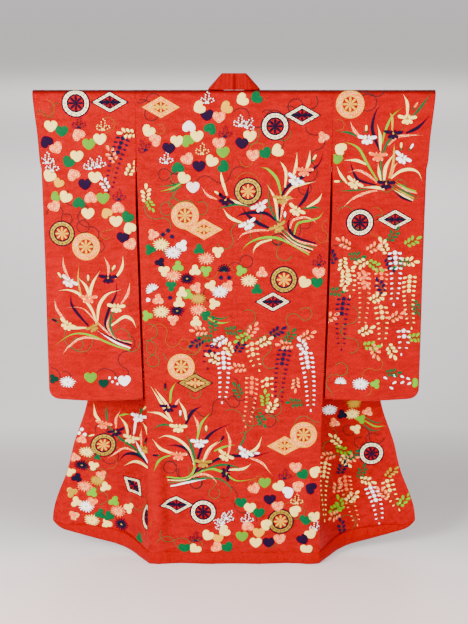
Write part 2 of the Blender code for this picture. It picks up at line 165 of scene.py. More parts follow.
def between(rows: Rows, key: str, value: Array | float, column: str) -> Array:
    """Read the smooth curve through a table's column.

    Args:
        rows: table with a rising key column.
        key: name of the key column.
        value: where to read it.
        column: name of the column to read.

    Returns:
        The column's value at each place, never past its neighbouring rows.
    """
    keys = np.array([row[key] for row in rows])
    heights = np.array([row[column] for row in rows])
    step = np.diff(heights) / np.diff(keys)
    same_way = step[:-1] * step[1:] > 0
    slope = np.zeros(len(keys))
    total = np.where(same_way, step[:-1] + step[1:], 1.0)
    slope[1:-1] = np.where(same_way, 2 * step[:-1] * step[1:] / total, 0.0)
    inside = np.clip(value, keys[0], keys[-1])
    k = np.clip(np.searchsorted(keys, inside, side="right") - 1, 0, len(keys) - 2)
    span = keys[k + 1] - keys[k]
    t = (inside - keys[k]) / span
    return (
        heights[k] * (2 * t**3 - 3 * t**2 + 1)
        + slope[k] * span * (t**3 - 2 * t**2 + t)
        + heights[k + 1] * (3 * t**2 - 2 * t**3)
        + slope[k + 1] * span * (t**3 - t**2)
    )


def ramp(value: Array | float, low: float, high: float) -> Array:
    """Rise smoothly from 0 at low to 1 at high.

    Args:
        value: where to read the ramp.
        low: last place with 0.
        high: first place with 1.

    Returns:
        The ramp at each value.
    """
    t = np.clip((np.asarray(value, dtype=float) - low) / (high - low), 0.0, 1.0)
    return t * t * (3 - 2 * t)


def over_fold(drop: Array | float) -> tuple[Array, Array]:
    """Follow the cloth over the shoulder fold and down.

    Args:
        drop: length of cloth from the top of the fold.

    Returns:
        The angle from the top of the fold, and the height.
    """
    quarter = FOLD_RADIUS * math.pi / 2
    drop = np.asarray(drop, dtype=float)
    angle = np.minimum(drop / quarter, 1.0) * math.pi / 2
    return angle, FOLD_RADIUS * np.cos(angle) - np.maximum(drop - quarter, 0.0)


def stack(x: Array, y: Array, z: Array) -> Array:
    """Rows of points from three coordinates."""
    return np.stack(np.broadcast_arrays(x, y, z), axis=-1).astype(float)


def unit(vectors: Array) -> Array:
    """The vectors at length one."""
    return vectors / np.maximum(np.linalg.norm(vectors, axis=-1, keepdims=True), 1e-12)


def spread(start: float, end: float, step: float) -> Array:
    """Evenly spaced values from start to end, about step apart."""
    return np.linspace(start, end, max(int(round(abs(end - start) / step)), 1) + 1)


def grid_step() -> float:
    """Distance between the points of a dressed cloth."""
    return FINE_STEP


def rows_from_fold(bottom: float) -> Array:
    """Rows of points from the top of the shoulder fold down, finer over the fold."""
    fold = np.linspace(0, FOLD_RADIUS * math.pi / 2, 7)
    return np.concatenate([fold, spread(FIRST_HANGING_ROW, bottom, grid_step() * ROW_STRETCH)])


def sleeve_end(drop: Array | float) -> Array:
    """How far out a sleeve reaches at a drop, with its rounded corner."""
    height = np.maximum(over_fold(drop)[1] - float(over_fold(SLEEVE_DROP)[1]), 0.0)
    in_corner = np.clip(SLEEVE_CORNER - height, 0.0, SLEEVE_CORNER)
    outer = between(SLEEVE_ROWS, "drop", drop, "outer_x")
    return outer - SLEEVE_CORNER + np.sqrt(SLEEVE_CORNER**2 - in_corner**2)


@dataclass(frozen=True)
class Crease:
    """A soft ridge or trough placed on a panel.

    Lengths are in metres of cloth; a negative depth is a trough, and lean is how far its lower end stands
    to the side of its upper one.
    """

    across: float
    top: float
    bottom: float
    width: float
    depth: float
    lean: float = 0.0

    def height(self, across: Array, drop: Array) -> Array:
        """How far the crease stands out.

        Args:
            across: place across the panel.
            drop: place down the panel.

        Returns:
            The height over the smooth cloth.
        """
        length = self.bottom - self.top
        t = (drop - self.top) / length
        middle = self.across + self.lean * np.clip(t, 0, 1)
        ends = ramp(t, 0.0, 0.35) * (1 - ramp(t, 0.7, 1.0))
        return self.depth * np.exp(-(((across - middle) / self.width) ** 2)) * ends


@dataclass
class Panel:
    """A hanging panel whose outer face can be read at any place of the cloth."""

    side: Side
    creases: tuple[Crease, ...] = ()

    def smooth(self, across: Array, drop: Array) -> Array:
        """Outer face without its creases, on the right-hand side."""
        raise NotImplementedError

    def outward(self, across: Array, drop: Array) -> Array:
        """Unit normals of the smooth outer face, on the right-hand side.

        Args:
            across: place across the panel.
            drop: place down the panel.

        Returns:
            One normal for each place.
        """
        eps = SURFACE_EPS
        ahead = self.smooth(across + eps, drop) - self.smooth(across - eps, drop)
        down = self.smooth(across, drop + eps) - self.smooth(across, np.maximum(drop - eps, 0.0))
        return -unit(np.cross(ahead, down))

    def lay(self, across: Array, drop: Array, height: Array | float = 0.0) -> Array:
        """Put points on the creased outer face.

        Args:
            across: place across the panel.
            drop: place down the panel.
            height: distance above the outer face.

        Returns:
            The points, on the panel's own side.
        """
        across, drop = np.broadcast_arrays(np.asarray(across, float), np.asarray(drop, float))
        raised = np.zeros(across.shape) + height
        for crease in self.creases:
            raised = raised + crease.height(across, drop)
        points = self.smooth(across, drop) + self.outward(across, drop) * raised[..., None]
        points[..., 0] *= self.side.value
        return points

    def find(self, x: float, z: float) -> tuple[float, float]:
        """Find the cloth that shows at a place of the front view.

        Args:
            x: sideways place.
            z: height.

        Returns:
            Place across and down the panel.
        """
        across, drop = self.guess(x, z)
        for _ in range(FIND_ROUNDS):
            here = self.lay(across, drop)
            across += float(x - here[0]) * self.side.value
            drop += float(here[2] - z)
        return across, drop

    def guess(self, x: float, z: float) -> tuple[float, float]:
        """A first guess for find."""
        return abs(x), max(0.03 - z, 0.03)


BACK_CREASES = (
    Crease(-0.262, 1.08, 1.57, 0.016, 0.0066, lean=0.012),
    Crease(-0.232, 1.16, 1.60, 0.013, -0.0054, lean=0.018),
    Crease(-0.200, 1.28, 1.60, 0.018, 0.0042, lean=0.020),
    Crease(0.262, 1.12, 1.58, 0.017, 0.0052, lean=-0.010),
    Crease(0.226, 1.30, 1.60, 0.014, -0.0040, lean=-0.016),
    Crease(-0.085, 0.55, 1.10, 0.030, 0.0022, lean=-0.020),
    Crease(0.110, 0.70, 1.35, 0.035, 0.0024, lean=0.025),
    Crease(0.155, 0.18, 0.62, 0.022, -0.0016, lean=0.010),
    Crease(-0.170, 0.14, 0.50, 0.024, 0.0016, lean=-0.012),
    Crease(0.284, 0.30, 0.85, 0.012, 0.0020, lean=-0.004),
    Crease(-0.286, 0.36, 0.80, 0.012, 0.0020, lean=0.004),
)
FRONT_CREASES = {
    Side.LEFT: (
        Crease(0.350, 1.08, 1.52, 0.020, 0.0046, lean=0.050),
        Crease(0.430, 1.12, 1.56, 0.022, -0.0042, lean=0.060),
        Crease(0.150, 0.40, 1.20, 0.024, 0.0030, lean=0.020),
        Crease(0.080, 0.90, 1.50, 0.020, -0.0026, lean=0.016),
    ),
    Side.RIGHT: (
        Crease(0.330, 1.06, 1.48, 0.017, -0.0048, lean=0.030),
        Crease(0.370, 1.10, 1.56, 0.021, 0.0048, lean=0.060),
        Crease(0.450, 1.20, 1.56, 0.019, -0.0038, lean=0.050),
        Crease(0.120, 0.45, 1.30, 0.022, 0.0032, lean=0.030),
        Crease(0.190, 0.80, 1.50, 0.026, -0.0026, lean=-0.010),
    ),
}
SLEEVE_CREASES = {
    (Side.LEFT, False): (
        Crease(0.352, 0.34, 0.95, 0.013, 0.0024, lean=-0.006),
        Crease(0.400, 0.55, 0.98, 0.016, -0.0020, lean=0.010),
        Crease(0.470, 0.22, 0.80, 0.028, 0.0022, lean=0.020),
        Crease(0.560, 0.45, 0.97, 0.020, 0.0024, lean=-0.015),
    ),
    (Side.RIGHT, False): (
        Crease(0.345, 0.40, 0.96, 0.012, 0.0022, lean=0.004),
        Crease(0.425, 0.28, 0.88, 0.024, -0.0020, lean=0.014),
        Crease(0.505, 0.50, 0.98, 0.020, 0.0026, lean=-0.018),
        Crease(0.580, 0.30, 0.75, 0.018, 0.0018, lean=-0.008),
    ),
    (Side.LEFT, True): (
        Crease(0.380, 0.42, 0.94, 0.018, 0.0022, lean=0.012),
        Crease(0.460, 0.30, 0.90, 0.024, -0.0020, lean=-0.010),
        Crease(0.540, 0.52, 0.98, 0.020, 0.0024, lean=0.010),
    ),
    (Side.RIGHT, True): (
        Crease(0.365, 0.36, 0.90, 0.016, 0.0020, lean=-0.004),
        Crease(0.440, 0.55, 0.98, 0.022, 0.0024, lean=0.016),
        Crease(0.530, 0.25, 0.85, 0.026, -0.0020, lean=-0.014),
    ),
}


@dataclass
class BackPanel(Panel):
    """Both halves of the back as one hanging face, across measured from the centre seam."""

    seam_dip: float = 0.0009
    seam_reach: float = 0.004

    def smooth(self, across: Array, drop: Array) -> Array:
        """Outer face with the hang's wide folds and the dip along the centre seam."""
        x = np.asarray(across, dtype=float)
        angle, z = over_fold(drop)
        inside = np.clip(1 - (x / HALF_NECK) ** 2, 0.0, 1.0)
        bow = FOLD_RADIUS * np.sqrt(inside)
        y = -FOLD_RADIUS + (FOLD_RADIUS - bow) * (1 - np.sin(angle))
        for fold in BACK_FOLDS:
            wide = np.exp(-(((x - fold["x"]) / fold["width"]) ** 2))
            y = y - fold["depth"] * wide * ramp(drop, fold["from_drop"], fold["to_drop"])
        y = y + self.seam_dip * np.exp(-((x / self.seam_reach) ** 2)) * ramp(drop, 0.0, 0.05)
        return stack(x, y, z)

    def guess(self, x: float, z: float) -> tuple[float, float]:
        """The back hangs straight, so the guess is close."""
        return x, max(0.03 - z, 0.03)


@dataclass
class FrontPanel(Panel):
    """A front with its okumi, across measured along the cloth from the side seam."""

    def smooth(self, across: Array, drop: Array) -> Array:
        """Outer face: a straight leg behind the back, a roll, and a straight leg out to the front edge."""
        along = np.asarray(across, dtype=float)
        row = {column: between(FRONT_BENDS, "drop", drop, column) for column in FRONT_BENDS[0]}
        start, end = np.radians(row["start"]), np.radians(row["end"])
        flat, roll = row["flat"], row["roll"]
        turned = np.clip((along - flat) / roll, 0.0, start - end)
        heading = start - turned
        rest = np.maximum(along - flat - roll * (start - end), 0.0)
        first = np.minimum(along, flat)
        x = first * np.cos(start) + roll * (np.sin(start) - np.sin(heading)) + rest * np.cos(end)
        y = first * np.sin(start) + roll * (np.cos(heading) - np.cos(start)) + rest * np.sin(end)
        side_x = between(BACK_ROWS, "drop", drop, "half_width") - SEAM_GAP / 2
        angle, z = over_fold(drop)
        share = np.clip(along / between(FRONT_CUT, "drop", drop, "to_edge"), 0.0, None)
        lift = row["lift"] * share**LIFT_CURVE
        width = between(FRONT_CUT, "drop", drop, "to_edge")
        corner = np.maximum(along - width + HEM_CORNER["reach"], 0.0) / HEM_CORNER["reach"]
        lift = lift + HEM_CORNER["rise"] * corner**2 * ramp(drop, HEM_CORNER["from_drop"], SHOULDER_TO_HEM)
        return stack(side_x + x, row["side_y"] * np.sin(angle) + y, z + lift)

    def guess(self, x: float, z: float) -> tuple[float, float]:
        """Start on the leg that shows beside the back."""
        return abs(x) - 0.1, max(0.03 - z, 0.03)


@dataclass
class SleevePanel(Panel):
    """One layer of a hanging sleeve, across measured from the garment's middle."""

    front: bool = False

    def smooth(self, across: Array, drop: Array) -> Array:
        """Outer face of this layer, rounding in to the sewn edges of the bag."""
        across = np.asarray(across, dtype=float)
        row = {column: between(SLEEVE_ROWS, "drop", drop, column) for column in SLEEVE_ROWS[0]}
        angle, z = over_fold(drop)
        bottom = float(over_fold(SLEEVE_DROP)[1])
        outer, inner = row["outer_x"], row["inner_x"]
        end = sleeve_end(drop)
        x = np.minimum(across, end)
        share = (x - inner) / (end - inner)
        corner_x, corner_z = outer - SLEEVE_CORNER, bottom + SLEEVE_CORNER
        rounded = SLEEVE_CORNER - np.hypot(x - corner_x, z - corner_z)
        straight = np.minimum(outer - x, z - bottom)
        reach = np.where((x > corner_x) & (z < corner_z), rounded, straight)
        edge = np.clip(np.maximum(reach, 0.0) / SLEEVE_EDGE, 0.0, 1.0)
        open_cuff = 1 - ramp(drop, CUFF_DROP, CUFF_END)
        edge = 1 - (1 - edge) * (1 - open_cuff)
        rounding = np.sqrt(np.clip(1 - (1 - edge) ** 2, 0.0, 1.0))
        thick = row["half_thick"] * np.sin(angle)
        sag = SLEEVE_SAG * np.sin(math.pi * np.clip(share, 0, 1)) * ramp(drop, 0.6, SLEEVE_DROP)
        wave = np.sin(SLEEVE_WAVE["turns"] * share + SLEEVE_WAVE["start"] + self.side.value)
        swell = SLEEVE_WAVE["depth"] * wave * ramp(drop, 0.3, 0.8) * rounding
        face = 1.0 if self.front else -1.0
        middle = -FOLD_RADIUS * np.sin(angle) + thick
        return stack(x, middle + face * thick * rounding - swell, z - sag)

    def outward(self, across: Array, drop: Array) -> Array:
        """Normals face away from the inside of the bag."""
        normal = super().outward(across, drop)
        return -normal if self.front else normal


def only(*objects: bpy.types.Object) -> None:
    """Select just these objects, the first of them active."""
    bpy.ops.object.select_all(action="DESELECT")
    for piece in objects:
        piece.select_set(True)
    bpy.context.view_layer.objects.active = objects[0]


def edit(*steps: Callable[[], object]) -> None:
    """Run operators on the active mesh in edit mode."""
    bpy.ops.object.mode_set(mode="EDIT")
    for step in steps:
        step()
    bpy.ops.object.mode_set(mode="OBJECT")


def edit_all(piece: bpy.types.Object, work: Callable[[], object]) -> None:
    """Run edit-mode work on all of a mesh."""
    only(piece)
    edit(lambda: bpy.ops.mesh.select_all(action="SELECT"), work)


def add_object(name: str, data: bpy.types.ID) -> bpy.types.Object:
    """Put a new object with this data in the scene."""
    made = bpy.data.objects.new(name, data)
    bpy.context.scene.collection.objects.link(made)
    return made


def turned(points: Array, degrees: float) -> tuple[Array, Array]:
    """Both flat coordinates of points turned clockwise round the origin."""
    c, s = math.cos(math.radians(degrees)), math.sin(math.radians(degrees))
    return points[:, 0] * c + points[:, 1] * s, points[:, 1] * c - points[:, 0] * s


def coordinates(mesh: bpy.types.Mesh) -> Array:
    """All vertex places of a mesh."""
    flat = np.empty(len(mesh.vertices) * 3)
    mesh.vertices.foreach_get("co", flat)
    return flat.reshape(-1, 3)


def chart(mesh: bpy.types.Mesh, places: Array) -> None:
    """Write a place for each vertex as the mesh's UV map."""
    layer = mesh.uv_layers[0] if mesh.uv_layers else mesh.uv_layers.new()
    corner = np.empty(len(mesh.loops), dtype=int)
    mesh.loops.foreach_get("vertex_index", corner)
    layer.uv.foreach_set("vector", places[corner].ravel())


def bent_grid(name: str, columns: Array, rows: Array, place: Place) -> bpy.types.Object:
    """Add a flat grid and bend it so that each of its points is at its place.

    Args:
        name: name of the piece.
        columns: value of each column of points.
        rows: value of each row of points.
        place: gives the points for column and row values.

    Returns:
        The new object, at the origin, with column and row values as its UV map.
    """
    bpy.ops.object.select_all(action="DESELECT")
    bpy.ops.mesh.primitive_grid_add(x_subdivisions=len(columns) - 1, y_subdivisions=len(rows) - 1, size=1.0)
    sheet = bpy.context.object
    sheet.name = sheet.data.name = name
    flat = coordinates(sheet.data)
    i = np.rint((flat[:, 0] + 0.5) * (len(columns) - 1)).astype(int)
    j = np.rint((flat[:, 1] + 0.5) * (len(rows) - 1)).astype(int)
    column, row = np.asarray(columns)[i], np.asarray(rows)[j]
    sheet.data.vertices.foreach_set("co", place(column, row).ravel())
    chart(sheet.data, np.stack([column, row], axis=-1))
    sheet.data.update()
    return sheet


def face_like(sheet: bpy.types.Object, normal: Sequence[float]) -> None:
    """Turn the faces of an open sheet so that its middle one looks along a direction."""
    middle = sheet.data.polygons[len(sheet.data.polygons) // 2]
    if middle.normal.dot(Vector(normal)) < 0:
        edit_all(sheet, bpy.ops.mesh.flip_normals)


def apply(piece: bpy.types.Object, kind: str, **settings: float | int | str | bool) -> None:
    """Add a modifier with these settings and apply it."""
    modifier = piece.modifiers.new(kind, kind)
    for name, value in settings.items():
        setattr(modifier, name, value)
    only(piece)
    bpy.ops.object.modifier_apply(modifier=modifier.name)


def thicken(sheet: bpy.types.Object, wall: float = SHELL) -> None:
    """Give a sheet its lining side and its edges, behind the outer face."""
    apply(sheet, "SOLIDIFY", thickness=wall, offset=-1.0, material_offset=1, material_offset_rim=1)


def soften(piece: bpy.types.Object, degrees: float) -> None:
    """Shade a piece smooth, sharp only past an angle."""
    only(piece)
    bpy.ops.object.shade_smooth_by_angle(angle=math.radians(degrees))


def close_tube(piece: bpy.types.Object) -> None:
    """Weld a rolled-up grid, fill both its ends and face all of it outwards."""

    def close() -> None:
        """The edit-mode steps."""
        bpy.ops.mesh.remove_doubles(threshold=WELD)
        bpy.ops.mesh.select_all(action="DESELECT")
        bpy.ops.mesh.select_non_manifold()
        bpy.ops.mesh.fill_holes(sides=0)
        bpy.ops.mesh.select_all(action="SELECT")
        bpy.ops.mesh.normals_make_consistent(inside=False)

    edit_all(piece, close)
    soften(piece, CLOTH_ANGLE)


def tube(name: str, path: Array, across: Array, width: Array, depth: Array, sides: int) -> bpy.types.Object:
    """Sweep an oval along a path as one closed piece.

    Args:
        name: name of the piece.
        path: middle points of the oval.
        across: unit direction of its width at each point.
        width: full width at each point.
        depth: full depth at each point.
        sides: corners of the oval.

    Returns:
        The closed tube, its ends filled.
    """
    ahead = unit(np.gradient(path, axis=0))
    deep = unit(np.cross(ahead, across))
    length = np.concatenate([[0.0], np.cumsum(np.linalg.norm(np.diff(path, axis=0), axis=1))])

    def place(column: Array, row: Array) -> Array:
        """Points of the ring at each column of the path."""
        i = np.rint(np.interp(row, length, np.arange(len(path)))).astype(int)
        turn = column * 2 * math.pi
        side_step = across[i] * (width[i] / 2 * np.cos(turn))[:, None]
        return path[i] + side_step + deep[i] * (depth[i] / 2 * np.sin(turn))[:, None]

    piece = bent_grid(name, np.linspace(0, 1, sides + 1), length, place)
    close_tube(piece)
    return piece


@dataclass(frozen=True)
class Group:
    """Helpers for wiring shader node trees."""

    tree: bpy.types.NodeTree

    def node(self, kind: str, **settings: object) -> bpy.types.Node:
        """Add a node and set its properties."""
        made = self.tree.nodes.new(kind)
        for name, value in settings.items():
            setattr(made, name, value)
        return made

    def link(self, source: object, target: object) -> None:
        """Join two sockets, or write a plain value in the target."""
        if isinstance(source, bpy.types.NodeSocket):
            self.tree.links.new(source, target)
        else:
            target.default_value = source

    def fill(self, made: bpy.types.Node, values: dict[str, object]) -> bpy.types.bpy_prop_collection:
        """Join sockets or write values to a node's named inputs, and give its outputs."""
        for label, value in values.items():
            self.link(value, made.inputs[label])
        return made.outputs

    def math(self, operation: str, *values: object, clamp: bool = False) -> bpy.types.NodeSocket:
        """Combine values or sockets with a Math node."""
        made = self.node("ShaderNodeMath", operation=operation, use_clamp=clamp)
        for socket, value in zip(made.inputs, values):
            self.link(value, socket)
        return made.outputs[0]

    def mix(self, share: object, first: object, second: object) -> bpy.types.NodeSocket:
        """Mix two colours by a share."""
        made = self.node("ShaderNodeMix", data_type="RGBA")
        self.link(share, made.inputs[0])
        for value, socket in ((first, made.inputs[6]), (second, made.inputs[7])):
            self.link((*value, 1.0) if isinstance(value, tuple) else value, socket)
        return made.outputs[2]

    def noise(self, place: object, scale: object, detail: float = 2.0, bend: float = 0.0) -> bpy.types.NodeSocket:
        """Read a noise texture at a place."""
        values = {"Vector": place, "Scale": scale, "Detail": detail, "Distortion": bend}
        return self.fill(self.node("ShaderNodeTexNoise"), values)[0]

    def stretched(self, place: object, factors: object) -> bpy.types.NodeSocket:
        """Multiply a place by a factor along each axis."""
        made = self.node("ShaderNodeVectorMath", operation="MULTIPLY")
        self.link(place, made.inputs[0])
        self.link(factors, made.inputs[1])
        return made.outputs[0]

    def parts(self, place: object) -> Sequence[bpy.types.NodeSocket]:
        """The three parts of a place."""
        made = self.node("ShaderNodeSeparateXYZ")
        self.link(place, made.inputs[0])
        return made.outputs

    def texture_place(self, output: str = "UV") -> bpy.types.NodeSocket:
        """The place that textures are read at."""
        return self.node("ShaderNodeTexCoord").outputs[output]

    def use(self, tree: bpy.types.NodeTree, values: dict[str, object]) -> bpy.types.bpy_prop_collection:
        """Place a shared effect with its own values."""
        return self.fill(self.node("ShaderNodeGroup", node_tree=tree), values)

    def bump(self, *heights: tuple[object, float]) -> bpy.types.NodeSocket:
        """Chain bumps, each a height socket and its depth in metres."""
        normal = None
        for height, depth in heights:
            values = {"Strength": 1.0, "Distance": depth, "Height": height}
            values |= {} if normal is None else {"Normal": normal}
            normal = self.fill(self.node("ShaderNodeBump"), values)[0]
        return normal


def effect(name: str, inputs: dict[str, float], outputs: dict[str, str]) -> tuple[Group, object, object]:
    """Start a shared node group.

    Args:
        name: name of the group.
        inputs: number inputs with their usual values; one called Place is a vector.
        outputs: socket type of each output.

    Returns:
        The wiring helper, the group's input node and its output node.
    """
    tree = bpy.data.node_groups.new(name, "ShaderNodeTree")
    for label, value in inputs.items():
        kind = "NodeSocketVector" if label == "Place" else "NodeSocketFloat"
        socket = tree.interface.new_socket(name=label, in_out="INPUT", socket_type=kind)
        if label != "Place":
            socket.default_value = value
    for label, kind in outputs.items():
        tree.interface.new_socket(name=label, in_out="OUTPUT", socket_type=kind)
    group = Group(tree)
    return group, group.node("NodeGroupInput"), group.node("NodeGroupOutput")


def satin_weave() -> bpy.types.NodeTree:
    """Build the weave of satin: long floats across fine ribs.

    Returns:
        Group with outputs Height and Shade, both about 0 to 1.
    """
    group, given, out = effect(
        "Satin weave",
        {"Place": 0.0, "Threads per metre": 1400.0, "Slub": 0.4},
        {"Height": "NodeSocketFloat", "Shade": "NodeSocketFloat"},
    )
    place, threads = given.outputs["Place"], given.outputs["Threads per metre"]
    parts = group.parts(place)
    across = group.math("MULTIPLY", parts[0], threads)
    down = group.math("MULTIPLY", parts[1], threads)
    warp = group.math("SINE", group.math("MULTIPLY", across, 2 * math.pi))
    twill = group.math("SINE", group.math("MULTIPLY", group.math("ADD", across, down), 0.4 * math.pi))
    slubs = group.noise(group.stretched(place, (60.0, 900.0, 60.0)), 1.0)
    ribs = group.math("ADD", group.math("MULTIPLY", warp, 0.25), group.math("MULTIPLY", twill, 0.25))
    slub = group.math("MULTIPLY", slubs, given.outputs["Slub"])
    group.link(group.math("ADD", group.math("ADD", ribs, 0.5), slub), out.inputs["Height"])
    group.link(slubs, out.inputs["Shade"])
    return group.tree


def soft_wrinkles() -> bpy.types.NodeTree:
    """Build the faint puckers and handling marks of silk over wadding.

    Returns:
        Group with outputs Height and Mask, both 0 to 1.
    """
    group, given, out = effect(
        "Soft wrinkles",
        {"Place": 0.0, "Size": 6.0, "Stretch": 9.0},
        {"Height": "NodeSocketFloat", "Mask": "NodeSocketFloat"},
    )
    place, size = given.outputs["Place"], given.outputs["Size"]
    factor = group.node("ShaderNodeCombineXYZ")
    for value, socket in zip((1.0, given.outputs["Stretch"], 1.0), factor.inputs):
        group.link(value, socket)
    wide = group.noise(group.stretched(place, factor.outputs[0]), size, 3.0, 0.6)
    fine = group.noise(place, group.math("MULTIPLY", size, 7.0))
    group.link(group.math("ADD", wide, group.math("MULTIPLY", fine, 0.22)), out.inputs["Height"])
    group.link(wide, out.inputs["Mask"])
    return group.tree


def stitch_lines() -> bpy.types.NodeTree:
    """Build the lie of satin stitches: fine parallel threads with small steps between them.

    Returns:
        Group with outputs Height and Glint, both 0 to 1.
    """
    group, given, out = effect(
        "Stitch lines",
        {"Place": 0.0, "Stitches per metre": 1100.0},
        {"Height": "NodeSocketFloat", "Glint": "NodeSocketFloat"},
    )
    place = given.outputs["Place"]
    across = group.math("MULTIPLY", group.parts(place)[0], given.outputs["Stitches per metre"])
    bent = group.math("ADD", across, group.math("MULTIPLY", group.noise(place, 160.0), 0.8))
    wave = group.math("ABSOLUTE", group.math("SINE", group.math("MULTIPLY", bent, math.pi)))
    group.link(wave, out.inputs["Height"])
    group.link(group.noise(group.stretched(place, (900.0, 90.0, 900.0)), 1.0), out.inputs["Glint"])
    return group.tree


@dataclass(frozen=True)
class Effects:
    """The shared node groups, each built once."""

    weave: bpy.types.NodeTree = field(default_factory=satin_weave)
    wrinkles: bpy.types.NodeTree = field(default_factory=soft_wrinkles)
    stitches: bpy.types.NodeTree = field(default_factory=stitch_lines)


def new_material(name: str) -> tuple[bpy.types.Material, Group, bpy.types.Node]:
    """Make a plain material.

    Args:
        name: its name.

    Returns:
        The material, its wiring helper and its Principled shader.
    """
    material = bpy.data.materials.new(name)
    material.use_nodes = True
    return material, Group(material.node_tree), material.node_tree.nodes["Principled BSDF"]


@dataclass(frozen=True)
class Finish:
    """A material whose colour, roughness and bump come from node textures, shared effects for silk and thread."""

    name: str
    colour: Colour
    roughness: float = 0.5


@dataclass(frozen=True)
class SilkFinish(Finish):
    """Woven silk: satin ribs, faint puckers, a slow drift of its dye and, where fold_shade is set, painted shade
    along the shoulder fold.
    """

    deep: Colour = (0.5, 0.02, 0.012)
    threads: float = 1400.0
    drift: float = 0.75
    pucker: float = 0.0054
    # painted shade: near the crest of the shoulder fold the colour is pulled towards shadow, fading out across
    # fold_reach, by fold_shade
    shadow: Colour = (0.02, 0.0, 0.0)
    fold_reach: tuple[float, float] = (0.007, 0.026)
    fold_shade: float = 0.0
    sheen: float = 0.05
    gloss: float = 0.30

    def build(self, effects: Effects) -> bpy.types.Material:
        """Wire the material.

        Args:
            effects: shared node groups.

        Returns:
            The finished material.
        """
        material, group, shader = new_material(self.name)
        place = group.texture_place()
        weave = group.use(effects.weave, {"Place": place, "Threads per metre": self.threads})
        folds = group.use(effects.wrinkles, {"Place": place})
        drifted = group.math("SUBTRACT", folds["Mask"], 0.35)
        dyed = group.mix(group.math("MULTIPLY", drifted, 2 * self.drift, clamp=True), self.colour, self.deep)
        ribbed = group.mix(group.math("MULTIPLY", weave["Shade"], 0.12), dyed, self.deep)
        # painted shade along the shoulder fold: darker where the drop down the cloth is small
        fold = group.node("ShaderNodeMapRange", interpolation_type="SMOOTHSTEP")
        group.link(group.math("ABSOLUTE", group.parts(place)[1]), fold.inputs["Value"])
        fold.inputs["From Min"].default_value, fold.inputs["From Max"].default_value = self.fold_reach
        fold.inputs["To Min"].default_value, fold.inputs["To Max"].default_value = self.fold_shade, 0.0
        rough = group.math("MULTIPLY", weave["Shade"], 0.10)
        values = {
            "Base Color": group.mix(fold.outputs["Result"], ribbed, self.shadow),
            "Roughness": group.math("ADD", rough, self.roughness - 0.05),
            "Normal": group.bump((folds["Height"], self.pucker), (weave["Height"], 0.00003)),
            "Sheen Weight": self.sheen,
            "Sheen Roughness": 0.45,
            "Sheen Tint": (1.0, 0.01, 0.01, 1.0),
            "Specular IOR Level": self.gloss,
            "Specular Tint": (1.0, 0.02, 0.02, 1.0),
        }
        group.fill(shader, values)
        return material


@dataclass(frozen=True)
class ThreadFinish(Finish):
    """Embroidery thread: its colour and shine come from the piece's own attribute."""

    dots_per_metre: float = 240.0
    knots: Colour = (0.96, 0.84, 0.40)
    gloss: float = 0.03

    def build(self, effects: Effects) -> bpy.types.Material:
        """Wire the material; attribute alpha is 0 for silk, 0.5 for dotted silk and 1 for gold.

        Args:
            effects: shared node groups.

        Returns:
            The finished material.
        """
        material, group, shader = new_material(self.name)
        place = group.texture_place()
        dye = group.node("ShaderNodeAttribute", attribute_name="thread").outputs
        stitches = group.use(effects.stitches, {"Place": place})
        voronoi = {"Vector": place, "Scale": self.dots_per_metre}
        dots = group.fill(group.node("ShaderNodeTexVoronoi"), voronoi)[0]
        spot = group.math("MULTIPLY", group.math("LESS_THAN", dots, 0.38), 0.75)
        dotted = group.math("COMPARE", dye["Alpha"], 0.5, 0.1)
        gold = group.math("GREATER_THAN", dye["Alpha"], 0.8)
        spotted = group.mix(group.math("MULTIPLY", spot, dotted), dye["Color"], self.knots)
        dark = group.fill(group.node("ShaderNodeHueSaturation"), {"Value": 0.62, "Color": spotted})[0]
        shade = group.math("MULTIPLY", stitches["Glint"], 0.38)
        soft = group.math("ADD", group.math("MULTIPLY", stitches["Glint"], 0.2), self.roughness - 0.1)
        values = {
            "Base Color": group.mix(shade, spotted, dark),
            "Metallic": group.math("MULTIPLY", gold, 0.75),
            "Roughness": group.math("SUBTRACT", soft, group.math("MULTIPLY", gold, 0.08)),
            "Normal": group.bump((stitches["Height"], 0.00012)),
            "Specular IOR Level": self.gloss,
        }
        group.fill(shader, values)
        return material


@dataclass(frozen=True)
class LacquerFinish(Finish):
    """Dark lacquered wood, its grain showing faintly through."""

    grain: Colour = (0.11, 0.06, 0.035)

    def build(self, effects: Effects) -> bpy.types.Material:
        """Wire the material on Object places, with the grain along the rod.

        Args:
            effects: shared node groups; not used.

        Returns:
            The finished material.
        """
        material, group, shader = new_material(self.name)
        grain = group.noise(group.stretched(group.texture_place("Object"), (3.0, 60.0, 60.0)), 4.0, 4.0)
        rub = group.math("ADD", group.math("MULTIPLY", grain, 0.2), self.roughness - 0.1)
        colour = group.mix(grain, self.colour, self.grain)
        group.fill(shader, {"Base Color": colour, "Roughness": rub, "Normal": group.bump((grain, 0.0002))})
        return material


